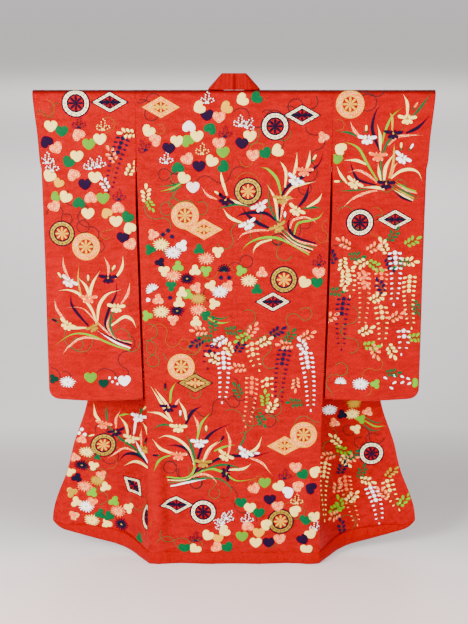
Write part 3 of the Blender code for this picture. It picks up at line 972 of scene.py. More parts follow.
@dataclass
class Wardrobe:
    """Every finish of the garment, built once."""

    silk: bpy.types.Material = field(init=False)
    band: bpy.types.Material = field(init=False)
    lining: bpy.types.Material = field(init=False)
    # inside: the near-black lining of the sleeve bags' inner faces, painted shade so that the slits beside the body
    # read as deep shadow
    inside: bpy.types.Material = field(init=False)
    thread: bpy.types.Material = field(init=False)
    lacquer: bpy.types.Material = field(init=False)

    def __post_init__(self) -> None:
        """Build the finishes."""
        plain = {"sheen": 0.0, "deep": (0.27, 0.0, 0.001), "threads": 2200.0, "gloss": 0.05}
        dark = {"sheen": 0.0, "deep": (0.02, 0.0, 0.0003), "gloss": 0.02}
        finishes = {
            # the red satin carries painted shade along its shoulder fold
            "silk": SilkFinish("red satin", (0.31, 0.0004, 0.002), 0.46, deep=(0.17, 0.0002, 0.001), fold_shade=0.9),
            "band": SilkFinish("collar satin", (0.25, 0.0003, 0.0015), 0.50, deep=(0.15, 0.0, 0.001)),
            "lining": SilkFinish("bright lining", (0.29, 0.0, 0.001), 0.50, **plain),
            # painted shade: near black in place of the red lining, for the insides of the sleeve bags
            "inside": SilkFinish("painted shade lining", (0.035, 0.0, 0.0005), 0.60, **dark),
            "thread": ThreadFinish("embroidery thread", (1.0, 1.0, 1.0), 0.46),
            "lacquer": LacquerFinish("rod lacquer", (0.03, 0.018, 0.014), 0.42),
        }
        effects = Effects()
        for name, finish in finishes.items():
            setattr(self, name, finish.build(effects))

    def dress(self, piece: bpy.types.Object, *finishes: bpy.types.Material) -> None:
        """Give a piece its finishes, one for each slot."""
        for finish in finishes:
            piece.data.materials.append(finish)

    def dress_node(self, node: bpy.types.Object, finish: bpy.types.Material) -> None:
        """Give a solid that stays its finish."""
        if not node.material_slots:
            node.data.materials.append(finish)
        for slot in node.material_slots:
            slot.material = finish


def refine(points: Array, count: int) -> Array:
    """Draw a smooth curve through points.

    Args:
        points: rows of values to pass through.
        count: points on the finished curve.

    Returns:
        Evenly timed points of a Catmull-Rom curve.
    """
    points = np.asarray(points, dtype=float)
    padded = np.concatenate([[2 * points[0] - points[1]], points, [2 * points[-1] - points[-2]]])
    t = np.linspace(0, len(points) - 1, count)
    k = np.minimum(t.astype(int), len(points) - 2)
    u = (t - k)[:, None]
    a, b, c, d = padded[k], padded[k + 1], padded[k + 2], padded[k + 3]
    return 0.5 * (2 * b + (c - a) * u + (2 * a - 5 * b + 4 * c - d) * u**2 + (3 * b - a - 3 * c + d) * u**3)


def seam_line(drop: Array) -> Array:
    """Length from the side seam to the okumi's seam, or to the neck edge above its tip."""
    wide = between(FRONT_CUT, "drop", drop, "to_edge")
    return np.where(np.asarray(drop) < OKUMI_TIP_DROP, wide, between(FRONT_CUT, "drop", drop, "to_okumi"))


def free_edge(drop: Array) -> Array:
    """Length from the side seam to the edge that the collar is sewn to."""
    tip = np.where(np.asarray(drop) >= OKUMI_TIP_DROP, seam_line(drop) + OKUMI_TIP_ROOM, 0.0)
    return np.maximum(between(FRONT_CUT, "drop", drop, "to_edge"), tip)


def roll_height(along: Array) -> Array:
    """Height of the hem roll at a length from the side seam."""
    width = float(between(FRONT_CUT, "drop", SHOULDER_TO_HEM, "to_edge"))
    return between(ROLL_TAPER, "share", np.asarray(along) / width, "height")


@dataclass
class Garment:
    """What every part of the garment shares: its finishes, and how a finished piece is handed over."""

    wardrobe: Wardrobe

    def hand_over(self, piece: bpy.types.Object, slot: str, *nodes: str) -> None:
        """Ride a piece on the body and let it stand for its solids.

        Args:
            piece: the finished piece.
            slot: material slot of the record; not used.
            nodes: solids that it replaces.
        """
        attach(piece, "root")
        if nodes:
            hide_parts(*nodes)
        LOG.info("%s: %d faces", piece.name, len(piece.data.polygons))

    def cloth(self, sheet: bpy.types.Object, normal: Sequence[float]) -> None:
        """Face a sheet outwards, give it its lining and dress both."""
        face_like(sheet, normal)
        self.wardrobe.dress(sheet, self.wardrobe.silk, self.wardrobe.lining)
        thicken(sheet)
        soften(sheet, CLOTH_ANGLE)


@dataclass
class Body(Garment):
    """Back halves, fronts and okumi."""

    back: BackPanel
    fronts: dict[Side, FrontPanel]
    tuck: float = 0.002  # the cloth runs this far into the hem roll
    loom_width: float = 0.315
    okumi_width: float = 0.140
    drawn_up_from: float = 1.2  # drop from which the fronts shorten to end in the hem roll
    near_seam: tuple[float, ...] = (0.0, 0.004, 0.009, 0.016)  # close columns for the dip along the centre seam
    column_widths: tuple[float, float, float] = (0.3, 0.26, 0.14)  # of back, front and okumi, for their columns

    def build_back(self, side: Side) -> None:
        """Build one half of the back, from the shoulder fold to the hem roll."""
        bottom = SHOULDER_TO_HEM - ROLL_HEIGHT + self.tuck

        def place(share: Array, drop: Array) -> Array:
            """The half widens and narrows with its row."""
            half = between(BACK_ROWS, "drop", drop, "half_width") - SEAM_GAP / 2
            return self.back.lay(side.value * np.maximum(half * share, CENTRE_HALF_GAP), drop)

        columns = np.concatenate([self.near_seam, spread(0.03, 1.0, grid_step() / self.column_widths[0])])
        sheet = bent_grid(f"back_{side.word}_cloth", columns, rows_from_fold(bottom), place)
        self.cloth(sheet, (0, -1, 0))
        self.hand_over(sheet, "red_silk", f"back_{side.word}")

    def build_front(self, side: Side) -> None:
        """Build one front, from the side seam to the neck edge and the okumi's seam."""
        panel = self.fronts[side]

        def place(share: Array, drop: Array) -> Array:
            """The front ends on the hem roll."""
            along = (seam_line(drop) - OKUMI_HALF_GAP) * share
            return panel.lay(along, self.above_roll(drop, share * float(seam_line(SHOULDER_TO_HEM))))

        columns = spread(0.0, 1.0, grid_step() / self.column_widths[1])
        sheet = bent_grid(f"front_{side.word}_cloth", columns, rows_from_fold(SHOULDER_TO_HEM), place)
        self.cloth(sheet, self.facing(panel, 0.1, 0.8))
        self.hand_over(sheet, "red_silk", f"front_{side.word}")

    def build_okumi(self, side: Side) -> None:
        """Build the long overlap strip on a front."""
        panel = self.fronts[side]

        def place(share: Array, drop: Array) -> Array:
            """The strip runs from its seam to the free edge."""
            seam = seam_line(drop) + OKUMI_HALF_GAP
            along = seam + (free_edge(drop) - seam) * share
            return panel.lay(along, self.above_roll(drop, along))

        columns = spread(0.0, 1.0, grid_step() / self.column_widths[2])
        rows = spread(OKUMI_TIP_DROP + 0.002, SHOULDER_TO_HEM, grid_step() * ROW_STRETCH)
        sheet = bent_grid(f"okumi_{side.word}_cloth", columns, rows, place)
        self.cloth(sheet, self.facing(panel, 0.33, 0.95))
        self.hand_over(sheet, "red_silk", f"okumi_{side.word}")

    def facing(self, panel: FrontPanel, across: float, drop: float) -> Array:
        """Outward direction near the middle of a sheet, on its own side."""
        normal = panel.outward(np.array(across), np.array(drop))
        return normal * (panel.side.value, 1.0, 1.0)

    def above_roll(self, drop: Array, along: Array) -> Array:
        """The drop, drawn up near the hem so that the cloth ends inside the hem roll."""
        end = SHOULDER_TO_HEM - roll_height(along) + self.tuck
        return drop - (SHOULDER_TO_HEM - end) * ramp(drop, self.drawn_up_from, SHOULDER_TO_HEM)

    def build(self) -> None:
        """Build every panel of the body."""
        for side in Side:
            self.build_back(side)
            self.build_front(side)
            self.build_okumi(side)


@dataclass
class Sleeves(Garment):
    """Both hanging sleeves with the lining that shows at their cuffs."""

    layers: dict[tuple[Side, bool], SleevePanel]
    trim_width: float = 0.0042
    trim_depth: float = 0.0036
    trim_sides: int = 8
    trim_end: float = 0.4  # share of its size at both ends
    width: float = 0.325
    run_in: float = 0.008
    run_in_drops: tuple[float, float, float, float] = (0.26, 0.34, 0.80, 0.92)  # begins, full, ends, gone
    opened: float = 0.0020
    opened_by: float = 0.40
    row_end: float = 0.965  # evenly spaced rows end here, above the closer ones of the bag's round bottom
    bag_weld: float = 0.0002
    edge_columns: tuple[float, ...] = (0.93, 0.95, 0.966, 0.978, 0.987, 0.994, 0.998, 1.0)
    bottom_rows: tuple[float, ...] = (0.060, 0.048, 0.036, 0.026, 0.018, 0.012, 0.008, 0.0045, 0.002, 0.0006, 0.0)

    def bounds_at(self, drop: Array, front: bool = False) -> tuple[Array, Array]:
        """Inner and outer end of the sleeve at a drop, with its rounded corner.

        Args:
            drop: place down the sleeve.
            front: whether for the front layer, which runs in behind the body's side.

        Returns:
            The two ends, measured from the garment's middle.
        """
        begins, full, ends, gone = self.run_in_drops
        run_in = self.run_in * ramp(drop, begins, full) * (1 - ramp(drop, ends, gone))
        opened = self.opened * ramp(drop, ARMHOLE_DROP, self.opened_by)
        return between(SLEEVE_ROWS, "drop", drop, "inner_x") + (-run_in if front else opened), sleeve_end(drop)

    def build_sleeve(self, side: Side) -> None:
        """Build one sleeve as a bag of one cloth folded over the rod."""
        columns = np.concatenate([spread(0.0, 0.91, grid_step() / 0.3), self.edge_columns])
        rows = np.concatenate([rows_from_fold(self.row_end), SLEEVE_DROP - np.array(self.bottom_rows)])
        grids = []
        for front in (False, True):
            panel = self.layers[side, front]

            def place(share: Array, drop: Array, panel: SleevePanel = panel) -> Array:
                """Each row reaches from the inner edge to the sewn or open outer edge."""
                inner, end = self.bounds_at(drop, panel.front)
                return panel.lay(inner + (end - inner) * share, drop)

            grid = bent_grid(f"sleeve_{side.word}_cloth", columns, rows, place)
            face_like(grid, (0, 1 if front else -1, 0))
            grids.append(grid)
        only(*grids)
        bpy.ops.object.join()
        bag = grids[0]
        edit_all(bag, lambda: bpy.ops.mesh.remove_doubles(threshold=self.bag_weld))
        # the bag's inner face takes the near-black lining: painted shade inside the sleeve
        self.wardrobe.dress(bag, self.wardrobe.silk, self.wardrobe.inside)
        thicken(bag)
        soften(bag, CLOTH_ANGLE)
        self.hand_over(bag, "red_silk", f"sleeve_{side.word}_back", f"sleeve_{side.word}_front")

    def build_trim(self, side: Side) -> None:
        """Roll the lining out round the cuff."""
        back, front = self.layers[side, False], self.layers[side, True]
        inset = self.trim_depth / 2
        cuff = np.concatenate([spread(CUFF_DROP, 0.03, 0.012), np.linspace(0.028, 0.0, 6)])
        outer = self.bounds_at(cuff)[1]
        path = np.concatenate([back.lay(outer, cuff, -inset), front.lay(outer, cuff, -inset)[::-1][1:]])
        size = np.ones(len(path))
        size[[0, -1]] = self.trim_end
        across = np.tile([1.0, 0.0, 0.0], (len(path), 1))
        name = f"sleeve_{side.word}_cuff_trim"
        roll = tube(name, path, across, self.trim_width * size, self.trim_depth * size, self.trim_sides)
        self.wardrobe.dress(roll, self.wardrobe.lining)
        self.hand_over(roll, "lining_silk")

    def build(self) -> None:
        """Build both sleeves."""
        for side in Side:
            self.build_sleeve(side)
            self.build_trim(side)


@dataclass
class Collar(Garment):
    """The folded band round the neck and down both front edges."""

    fronts: dict[Side, FrontPanel]
    crown: float = 0.0008
    rows: int = 260
    row_length: float = 0.009
    section: int = 24

    def stations(self) -> tuple[Array, Array]:
        """Seam and free points of the band along its right half.

        Returns:
            Seam points and free points, from the centre back to the band's end.
        """
        back, front = BackPanel(Side.RIGHT), self.fronts[Side.RIGHT]
        top = FOLD_RADIUS + COLLAR_WIDTH
        seams, frees = [], []
        for x in (SEAM_GAP / 2,) + NECK_XS[:2]:
            seam = back.smooth(np.array(x), np.array(0.0)) + (0, 0, SEAM_GAP)
            seams.append(seam)
            frees.append((x, seam[1] - COLLAR_LEAN, top))
        fan = table(
            "seam_x rise free",
            (NECK_XS[2], 0.0005, (0.0385, -0.0205, 0.0715)),
            (NECK_XS[3], 0.0012, (0.0400, -0.0160, 0.0705)),
        )
        for row in fan:
            seams.append(back.smooth(np.array(row["seam_x"]), np.array(0.0)) + (0, 0, row["rise"]))
            frees.append(row["free"])
        turn = table(
            "drop seam_x rise free",
            (0.000, 0.0835, 0.0020, (0.0400, -0.0060, 0.0690)),
            (0.009, 0.0835, 0.0015, (0.0390, 0.0060, 0.0620)),
            (0.018, 0.0830, 0.0014, (0.0370, 0.0155, 0.0480)),
            (0.029, 0.0830, 0.0010, (0.0340, 0.0215, 0.0280)),
        )
        radius = FOLD_RADIUS + COLLAR_THICKNESS - WALL + SEAM_GAP
        for row in turn:
            angle, z = over_fold(row["drop"])
            seams.append((row["seam_x"], radius * math.sin(angle), z + row["rise"]))
            frees.append(row["free"])
        upper = [0.05, 0.085, 0.12, 0.155, 0.19, OKUMI_TIP_DROP]
        drops = np.concatenate([upper, spread(0.28, COLLAR_END_DROP, 0.05)])
        width = free_edge(drops) + COLLAR_GAP
        seams += list(front.lay(width, drops))
        frees += list(front.lay(width + COLLAR_WIDTH, drops))
        return np.array(seams, dtype=float), np.array(frees, dtype=float)

    def build(self) -> None:
        """Build the whole band as one padded fold of cloth."""
        halves = self.stations()
        seam, free = (refine(np.concatenate([(half * MIRROR)[::-1], half]), self.rows) for half in halves)
        ahead = unit(np.gradient((seam + free) / 2, axis=0))
        width = np.linalg.norm(free - seam, axis=1)
        across = unit(free - seam)
        outward = unit(np.cross(ahead, across))
        middle = (seam + free) / 2 - outward * COLLAR_THICKNESS / 2

        def place(turn: Array, row: Array) -> Array:
            """Points of the band's flat rounded section at each station."""
            i = np.rint(row).astype(int)
            c, s = np.cos(turn * 2 * math.pi), np.sin(turn * 2 * math.pi)
            wide = np.sign(c) * np.abs(c) ** 0.45 * width[i] / 2
            deep = np.sign(s) * np.abs(s) ** 0.75 * (COLLAR_THICKNESS / 2 + self.crown)
            return middle[i] + across[i] * wide[:, None] + outward[i] * deep[:, None]

        band = bent_grid("collar_cloth", np.linspace(0, 1, self.section + 1), np.arange(float(self.rows)), place)
        close_tube(band)
        self.measure(band)
        self.wardrobe.dress(band, self.wardrobe.band)
        self.hand_over(band, "red_silk", "collar")

    def measure(self, band: bpy.types.Object) -> None:
        """Write the weave's places in metres: across and along the band."""
        charts = band.data.uv_layers[0].uv
        flat = np.empty(len(charts) * 2)
        charts.foreach_get("vector", flat)
        scaled = flat.reshape(-1, 2) * (2 * COLLAR_WIDTH, self.row_length)
        charts.foreach_set("vector", scaled.ravel())


@dataclass
class HemRoll(Garment):
    """The padded roll of lining along the whole hem."""

    back: BackPanel
    fronts: dict[Side, FrontPanel]
    sides: int = 18
    loft: float = 1.10
    pucker: float = 0.10  # share of its thickness by which the stitched roll swells and thins
    pucker_step: float = 0.031
    second_step: float = 0.0473  # sets a second wave, so that the swells come unevenly
    step: float = 0.008

    def path(self) -> tuple[Array, Array, Array]:
        """Lower middle line of the roll along its right half, with its height and thickness.

        Returns:
            Points on the hem, heights and thicknesses, from the centre back to the front corner.
        """
        drop = np.array(SHOULDER_TO_HEM)
        half = float(between(BACK_ROWS, "drop", drop, "half_width")) - SEAM_GAP / 2
        xs = spread(0.0, half, self.step)
        back = self.back.smooth(xs, drop) + (0, WALL / 2, 0)
        edge = float(free_edge(drop))
        along = spread(self.step / 2, edge, self.step)
        panel = self.fronts[Side.RIGHT]
        front = panel.smooth(along, drop) - panel.outward(along, drop) * (1, 1, 0) * WALL / 2
        share = np.concatenate([np.zeros(len(xs)), along / edge])
        line = np.concatenate([back, front])
        height = between(ROLL_TAPER, "share", share, "height")
        thick = between(ROLL_TAPER, "share", share, "thickness")
        return line, height, thick

    def build(self) -> None:
        """Build the roll from one front corner round the back to the other."""
        line, height, thick = self.path()
        whole = np.concatenate([(line * MIRROR)[::-1][:-1], line])
        height = np.concatenate([height[::-1][:-1], height])
        thick = np.concatenate([thick[::-1][:-1], thick])
        whole[1:-1] = (whole[:-2] + 2 * whole[1:-1] + whole[2:]) / 4
        length = np.concatenate([[0.0], np.cumsum(np.linalg.norm(np.diff(whole, axis=0), axis=1))])
        swell = np.sin(length / self.pucker_step * 2 * math.pi) + 0.6 * np.sin(length / self.second_step + 1.0)
        thick = thick * (1 + self.pucker * swell)
        ends = np.ones(len(whole))
        for place, share in ((0, 0.25), (1, 0.75)):
            ends[[place, -1 - place]] = share
        height = height * self.loft
        middle = whole + np.stack([0 * height, 0 * height, height / 2], axis=-1)
        upward = np.tile([0.0, 0.0, 1.0], (len(whole), 1))
        roll = tube("hem_roll", middle, upward, height * ends, thick * ends, self.sides)
        self.wardrobe.dress(roll, self.wardrobe.lining)
        nodes = [f"hem_roll_{piece}_{side.word}" for piece in ("back", "front") for side in Side]
        self.hand_over(roll, "lining_silk", *nodes)


class Thread(Enum):
    """Dyed silks and gold: linear colour, then 0 for plain silk, 0.5 for silk with knots and 1 for gold."""

    WHITE = (0.95, 0.93, 0.92, 0.0)
    BLUSH = (0.94, 0.72, 0.66, 0.0)
    IVORY = (0.95, 0.84, 0.46, 0.0)
    CREAM = (0.97, 0.67, 0.135, 0.5)
    SAND = (0.94, 0.55, 0.12, 0.0)
    STRAW = (0.72, 0.33, 0.010, 0.0)
    PINK = (0.86, 0.12, 0.025, 0.5)
    GOLD = (0.44, 0.27, 0.015, 1.0)
    LIME = (0.12, 0.38, 0.004, 0.0)
    MOSS = (0.10, 0.27, 0.012, 0.0)
    GREEN = (0.002, 0.085, 0.026, 0.0)
    TEAL = (0.001, 0.030, 0.018, 0.0)
    NAVY = (0.005, 0.003, 0.017, 0.0)
    PURPLE = (0.012, 0.002, 0.020, 0.0)
    BLUE = (0.004, 0.0065, 0.034, 0.0)
    VINE = (0.003, 0.060, 0.020, 0.0)
    DUSK = (0.003, 0.018, 0.018, 0.0)
    FAINT = (0.20, 0.06, 0.008, 0.0)


T = Thread
EDGES = {T.LIME: T.MOSS, T.GOLD: T.STRAW, T.NAVY: T.PURPLE}  # other threads edge in themselves

# Embroidery heights over the cloth
SUNK = 0.0004
STITCHED = 0.0006
FIRST_LAYER = 0.0007
LAYER_STEP = 0.00022
LAYERS = 4
BLADE_LIFT = 0.0010
TENDRIL = {"width": 0.0042, "lift": 0.0007}
STEM = {"width": 0.0022, "lift": 0.0006}
BLADE_WIDENING = 1.55  # for a pointed blade, whose mean width the chart states
DARK_WIDENING = 2.0
TOP_ROOM = 0.004
STEP_ALONG = 0.0065  # length of strip for each row of its points
MOST_PLAIN_CORNERS = 10  # a middle with more corners is split into triangles
USUAL_SPOT = (12.0, 1.0)  # clock hour and size of a spot that states none

# Designs are charted in squares, counted from the chart's left and top edges; the squares grow slowly downwards
CHART_MIDDLE = 234.0
CHART_SHOULDER = 90.0
HIDDEN_TOP = 0.011  # drop of the shoulder row on the faces that the chart doesn't show
SQUARE = {"wide": 0.003175, "wide_growth": 5.4e-7, "tall": 0.00313, "tall_growth": 6.1e-7}
SQUARE_MEAN = 0.0033


class Kind(Enum):
    """The worked motifs."""

    HEART = "aoi leaf"
    MUM = "chrysanthemum"
    FAN = "half chrysanthemum"
    WHEEL = "wheel"
    DIAMOND = "diamond"
    CLOVER = "trefoil"
    IRIS = "iris blossom"
    SPRAY = "floret spray"
    LEAF = "leaf spray"
    BUD = "bud"
    PETAL = "petal"
    DOT = "floret"


Spots = dict[Kind, dict[Thread, tuple[tuple[float, ...], ...]]]
Blade = tuple[Thread, float, tuple[tuple[float, float], ...]]


@dataclass(frozen=True)
class Design:
    """What is worked on one panel, in chart squares.

    Each spot is its place, and where needed a clock hour that its top points to and a size; a blade is its
    thread, its width and the points that it passes; a raceme runs from its top to its tip; a vine is its
    thread, start, heading in degrees and then lengths and turns.
    """

    spots: Spots = field(default_factory=dict)
    blades: tuple[Blade, ...] = ()
    racemes: tuple[tuple[Thread, float, float, float, float], ...] = ()
    vines: tuple[tuple, ...] = ()


@dataclass
class Pattern:
    """One motif, modelled once and copied wherever it is worked."""

    piece: bpy.types.Object
    points: Array = field(init=False)
    corner_tone: Array = field(init=False)

    def __post_init__(self) -> None:
        """Read its points and the tone of each face corner, and make room for the thread colours."""
        mesh = self.piece.data
        self.points = coordinates(mesh)
        tones = np.empty(len(mesh.polygons), dtype=int)
        mesh.attributes["tone"].data.foreach_get("value", tones)
        self.corner_tone = np.repeat(tones, [face.loop_total for face in mesh.polygons])
        mesh.attributes.remove(mesh.attributes["tone"])
        mesh.color_attributes.new("thread", "FLOAT_COLOR", "CORNER")
        self.piece.hide_render = True


def tone(piece: bpy.types.Object, number: int, cap: bool = False) -> None:
    """Give a tone to the selected faces, or else to the ring of faces round them."""
    mesh = piece.data
    near = {vertex.index for vertex in mesh.vertices if vertex.select}
    tones = mesh.attributes["tone"].data
    for face in mesh.polygons:
        if face.select == cap and not near.isdisjoint(face.vertices):
            tones[face.index].value = number


def raised(
    name: str,
    shape: Callable[[Array], Array],
    corners: int,
    rings: Sequence[tuple[float, float, int]],
    cap: int = 0,
    hollow: bool = False,
) -> bpy.types.Object:
    """Model a motif as rings stepping up inside its outline.

    Args:
        name: name of the motif.
        shape: gives the outline's points for angles from the motif's top, counted clockwise.
        corners: points of the outline.
        rings: scale, height and tone of each ring, from the outside in.
        cap: tone of the middle.
        hollow: leave the middle open.

    Returns:
        The motif, lying on the xy plane.
    """
    bpy.ops.object.select_all(action="DESELECT")
    bpy.ops.mesh.primitive_circle_add(vertices=corners, radius=1.0, fill_type="NOTHING")
    piece = bpy.context.object
    piece.name = piece.data.name = name
    circle = coordinates(piece.data)
    flat = shape(np.arctan2(circle[:, 0], circle[:, 1]))
    piece.data.vertices.foreach_set("co", stack(flat[:, 0], flat[:, 1], -SUNK).ravel())
    piece.data.attributes.new("tone", "INT", "FACE")
    at_scale, at_height = 1.0, -SUNK

    def step_in() -> None:
        """Raise a new ring from the last one and size it."""
        bpy.ops.mesh.extrude_region_move(TRANSFORM_OT_translate={"value": (0, 0, height - at_height)})
        share = scale / at_scale
        bpy.ops.transform.resize(value=(share, share, 1.0), center_override=(0, 0, 0))

    for scale, height, number in rings:
        edit(step_in)
        tone(piece, number)
        at_scale, at_height = scale, height
    if not hollow:
        edit(bpy.ops.mesh.edge_face_add)
        tone(piece, cap, cap=True)
        if corners > MOST_PLAIN_CORNERS:
            edit(bpy.ops.mesh.poke)
    face_like(piece, (0, 0, 1))
    chart(piece.data, coordinates(piece.data)[:, :2])
    return piece


def posy(name: str, petals: Sequence[tuple], *others: bpy.types.Object) -> bpy.types.Object:
    """Model one petal and join turned and sized copies of it.

    Args:
        name: name of the motif.
        petals: place right and up of each petal's root, turn clockwise in degrees, length, width, tone.
        others: finished pieces to join in.

    Returns:
        The joined motif.
    """

    def drop_shape(angle: Array) -> Array:
        """Outline of a petal of length one, its root at the origin."""
        wide = np.sin(angle) * (0.5 + 0.16 * np.cos(angle))
        return np.stack([wide, 0.5 + 0.5 * np.cos(angle)], axis=-1)

    petal = raised(name, drop_shape, 8, ((0.90, STITCHED, 0),))
    flat = coordinates(petal.data)
    pieces = list(others)
    for right, up, turn, length, width, number in petals:
        mesh = petal.data.copy()
        sized = flat * (width, length, 1.0)
        top = sized[:, 2] > 0
        sized[top, 1] = 0.1 * length + sized[top, 1] * 0.98
        mesh.vertices.foreach_set("co", sized.ravel())
        mesh.attributes["tone"].data.foreach_set("value", np.full(len(mesh.polygons), number))
        pieces.append(add_object(name, mesh))
        chart(mesh, sized[:, :2])
        x, y = turned(sized, turn)
        mesh.vertices.foreach_set("co", stack(x + right, y + up, sized[:, 2]).ravel())
    bpy.data.objects.remove(petal)
    only(*pieces)
    if len(pieces) > 1:
        bpy.ops.object.join()
    pieces[0].name = name
    return pieces[0]


@dataclass
class Patterns:
    """The pattern book: every motif at its usual size."""

    heart_size: tuple[float, float] = (0.0225, 0.0185)
    wheel_radius: float = 0.0455
    diamond_size: tuple[float, float] = (0.0610, 0.0345)
    mum_radius: float = 0.0290
    mum_petals: int = 16
    clover_radius: float = 0.0205
    wheel_rings: tuple[tuple[float, float, int], ...] = (
        (0.985, 0.0003, 2), (0.900, 0.0003, 2), (0.890, 0.0004, 0), (0.775, 0.0004, 0), (0.745, 0.0004, 2),
        (0.640, 0.0004, 0), (0.545, 0.0004, 2), (0.530, -SUNK, 2),
    )  # fmt: skip
    spokes: int = 8
    book: dict[Kind, Pattern] = field(init=False)
    strips: dict[tuple[int, int], bpy.types.Object] = field(default_factory=dict)

    def __post_init__(self) -> None:
        """Model every motif once."""
        leaf_rings = ((0.93, 0.0005, 0), (0.86, 0.0008, 1), (0.40, 0.0010, 1))
        fan = [(0, 0, turn, 0.0270 - 0.00005 * abs(turn), 0.0046, 0) for turn in range(-80, 81, 20)]
        fan += [(0, -0.004, 0, 0.008, 0.008, 1)]
        pieces = {
            Kind.HEART: raised("aoi leaf", self.heart, 28, leaf_rings, cap=1),
            Kind.CLOVER: raised("trefoil", self.clover, 27, ((0.90, 0.0006, 1), (0.70, 0.0008, 0))),
            Kind.WHEEL: self.spoked("wheel", self.round_rim, self.wheel_radius, self.wheel_radius, 36),
            Kind.DIAMOND: self.spoked("diamond", self.square_rim, *self.diamond_size, 32),
            Kind.MUM: self.mum(),
            Kind.FAN: posy("half chrysanthemum", fan),
            Kind.IRIS: posy("iris blossom", self.iris_petals()),
            Kind.SPRAY: posy("floret spray", self.spray_drops()),
            Kind.LEAF: posy("leaf spray", self.leaflets()),
            Kind.BUD: posy("bud", [(0, -0.010, 0, 0.024, 0.0075, 0), (0, -0.014, 0, 0.010, 0.0075, 1)]),
            Kind.PETAL: posy("petal", [(0, 0, 0, 0.0150, 0.0074, 0)]),
            Kind.DOT: posy("floret", [(0, 0, turn, 0.0072, 0.0070, 0) for turn in (-72, 0, 72, 144, -144)]),
        }
        self.book = {kind: Pattern(piece) for kind, piece in pieces.items()}

    def heart(self, angle: Array) -> Array:
        """Heart-shaped leaf, its notch at the top."""
        notch = 0.52 * np.exp(-np.abs(angle) / 0.27)
        tip = 0.16 * np.exp(-(((math.pi - np.abs(angle)) / 0.50) ** 2))
        radius = 1.0 - notch + tip
        wide = radius * np.sin(angle) * (0.95 + 0.13 * np.cos(angle))
        return np.stack([wide, radius * np.cos(angle)], axis=-1) * self.heart_size

    def clover(self, angle: Array) -> Array:
        """Three round lobes."""
        radius = (0.42 + 0.58 * np.abs(np.cos(1.5 * angle)) ** 0.75) * self.clover_radius
        return np.stack([radius * np.sin(angle), radius * np.cos(angle)], axis=-1)

    def round_rim(self, angle: Array) -> Array:
        """Radius of a round rim, as a share."""
        return np.ones(angle.shape)

    def square_rim(self, angle: Array) -> Array:
        """Radius of a square rim standing on its corner, as a share."""
        return 1.0 / (np.abs(np.sin(angle)) + np.abs(np.cos(angle)))

    def spoked(self, name: str, rim: Callable, wide: float, tall: float, corners: int) -> bpy.types.Object:
        """Model a rimmed wheel or diamond with wedge spokes, a hub and ticks across its rim.

        Args:
            name: name of the motif.
            rim: gives the rim's radius as a share, for angles.
            wide: half width.
            tall: half height.
            corners: points of the outline.

        Returns:
            The joined motif.
        """

        def outline(angle: Array) -> Array:
            """Points of the rim."""
            return np.stack([np.sin(angle) * wide, np.cos(angle) * tall], axis=-1) * rim(angle)[:, None]

        ring = raised(name, outline, corners, self.wheel_rings, hollow=True)
        parts = []
        for k in range(2 * self.spokes):
            angle = np.array([k * math.pi / self.spokes])
            point = outline(angle)[0]
            turn = math.degrees(math.atan2(point[0], point[1]))
            reach = float(np.hypot(*point))
            if k % 2 == 0:
                parts.append((*(0.03 * point), turn, 0.51 * reach, 0.165 * reach, 3))
            parts.append((*(0.62 * point), turn, 0.30 * reach, 0.0019, 2))
        parts.append((0.0, -0.10 * tall, 0, 0.2 * tall, 0.2 * tall, 3))
        return posy(name, parts, ring)

    def mum(self) -> bpy.types.Object:
        """Model a full chrysanthemum: a star of round-ended petals with a gold middle."""
        step = 360.0 / self.mum_petals

        def star(angle: Array) -> Array:
            """Narrow petals of uneven length, seen a little from the side."""
            turn = np.abs((np.degrees(angle) / step) % 1.0 - 0.5) * 2
            uneven = 1.0 + 0.07 * np.sin(5 * angle + 1.0)
            radius = self.mum_radius * uneven * (0.46 + 0.54 * (1 - turn**1.2))
            return np.stack([radius * np.sin(angle), 0.76 * radius * np.cos(angle)], axis=-1)

        rings = ((0.96, 0.0005, 0), (0.50, 0.0010, 0), (0.15, 0.0008, 0))
        return raised("chrysanthemum", star, 6 * self.mum_petals, rings, cap=1)

    def iris_petals(self) -> list[tuple]:
        """Spread side petals, a hanging one and two standing ones round a gold middle."""
        side = [(0.002 * s, 0.003, (82 if s > 0 else 76) * s, 0.0300, 0.0120, 0) for s in (-1, 1)]
        low = [(0.003 * s, 0.001, 138 * s, 0.0190, 0.0115, 0) for s in (-1, 1)]
        up = [(0.001 * s, 0.002, 30 * s, 0.0135, 0.0062, 0) for s in (-1, 1)]
        return side + low + [(0.0, 0.001, 180, 0.0185, 0.0130, 0)] + up + [(0.0, -0.003, 0, 0.0105, 0.0055, 1)]

    def spray_drops(self) -> list[tuple]:
        """A blossom with three twigs of loose drops."""
        parts = [(0.0, -0.012, turn, 0.0072, 0.0058, 0) for turn in (-90, -30, 30, 90)]
        for lean, height in ((-60, 0.019), (3, 0.031), (56, 0.021)):
            c, s = math.cos(math.radians(lean)), math.sin(math.radians(lean))
            parts.append((0.0, -0.012, lean, height, 0.0012, 1))
            for along in np.arange(0.0098, height, 0.0076):
                for hand in (-1, 1):
                    aside, ahead = 0.0042 * hand, along + 0.0022 * hand
                    right, up = ahead * s + aside * c, ahead * c - aside * s - 0.012
                    parts.append((right, up, lean + 30 * hand, 0.0052, 0.0037, 0))
            parts.append((height * s, height * c - 0.012, lean, 0.0054, 0.0040, 0))
        return parts

    def leaflets(self) -> list[tuple]:
        """Three pairs of leaflets and an end one on a thin stem."""
        parts = [(0.0, -0.030, 0, 0.048, 0.0018, 1), (0.0, 0.015, 4, 0.0215, 0.0108, 0)]
        for up, long in ((-0.021, 0.0140), (-0.009, 0.0170), (0.004, 0.0190)):
            parts += [(0.0018 * hand, up + 0.003 * hand, 52 * hand, long, 0.0098, 0) for hand in (-1, 1)]
        return parts

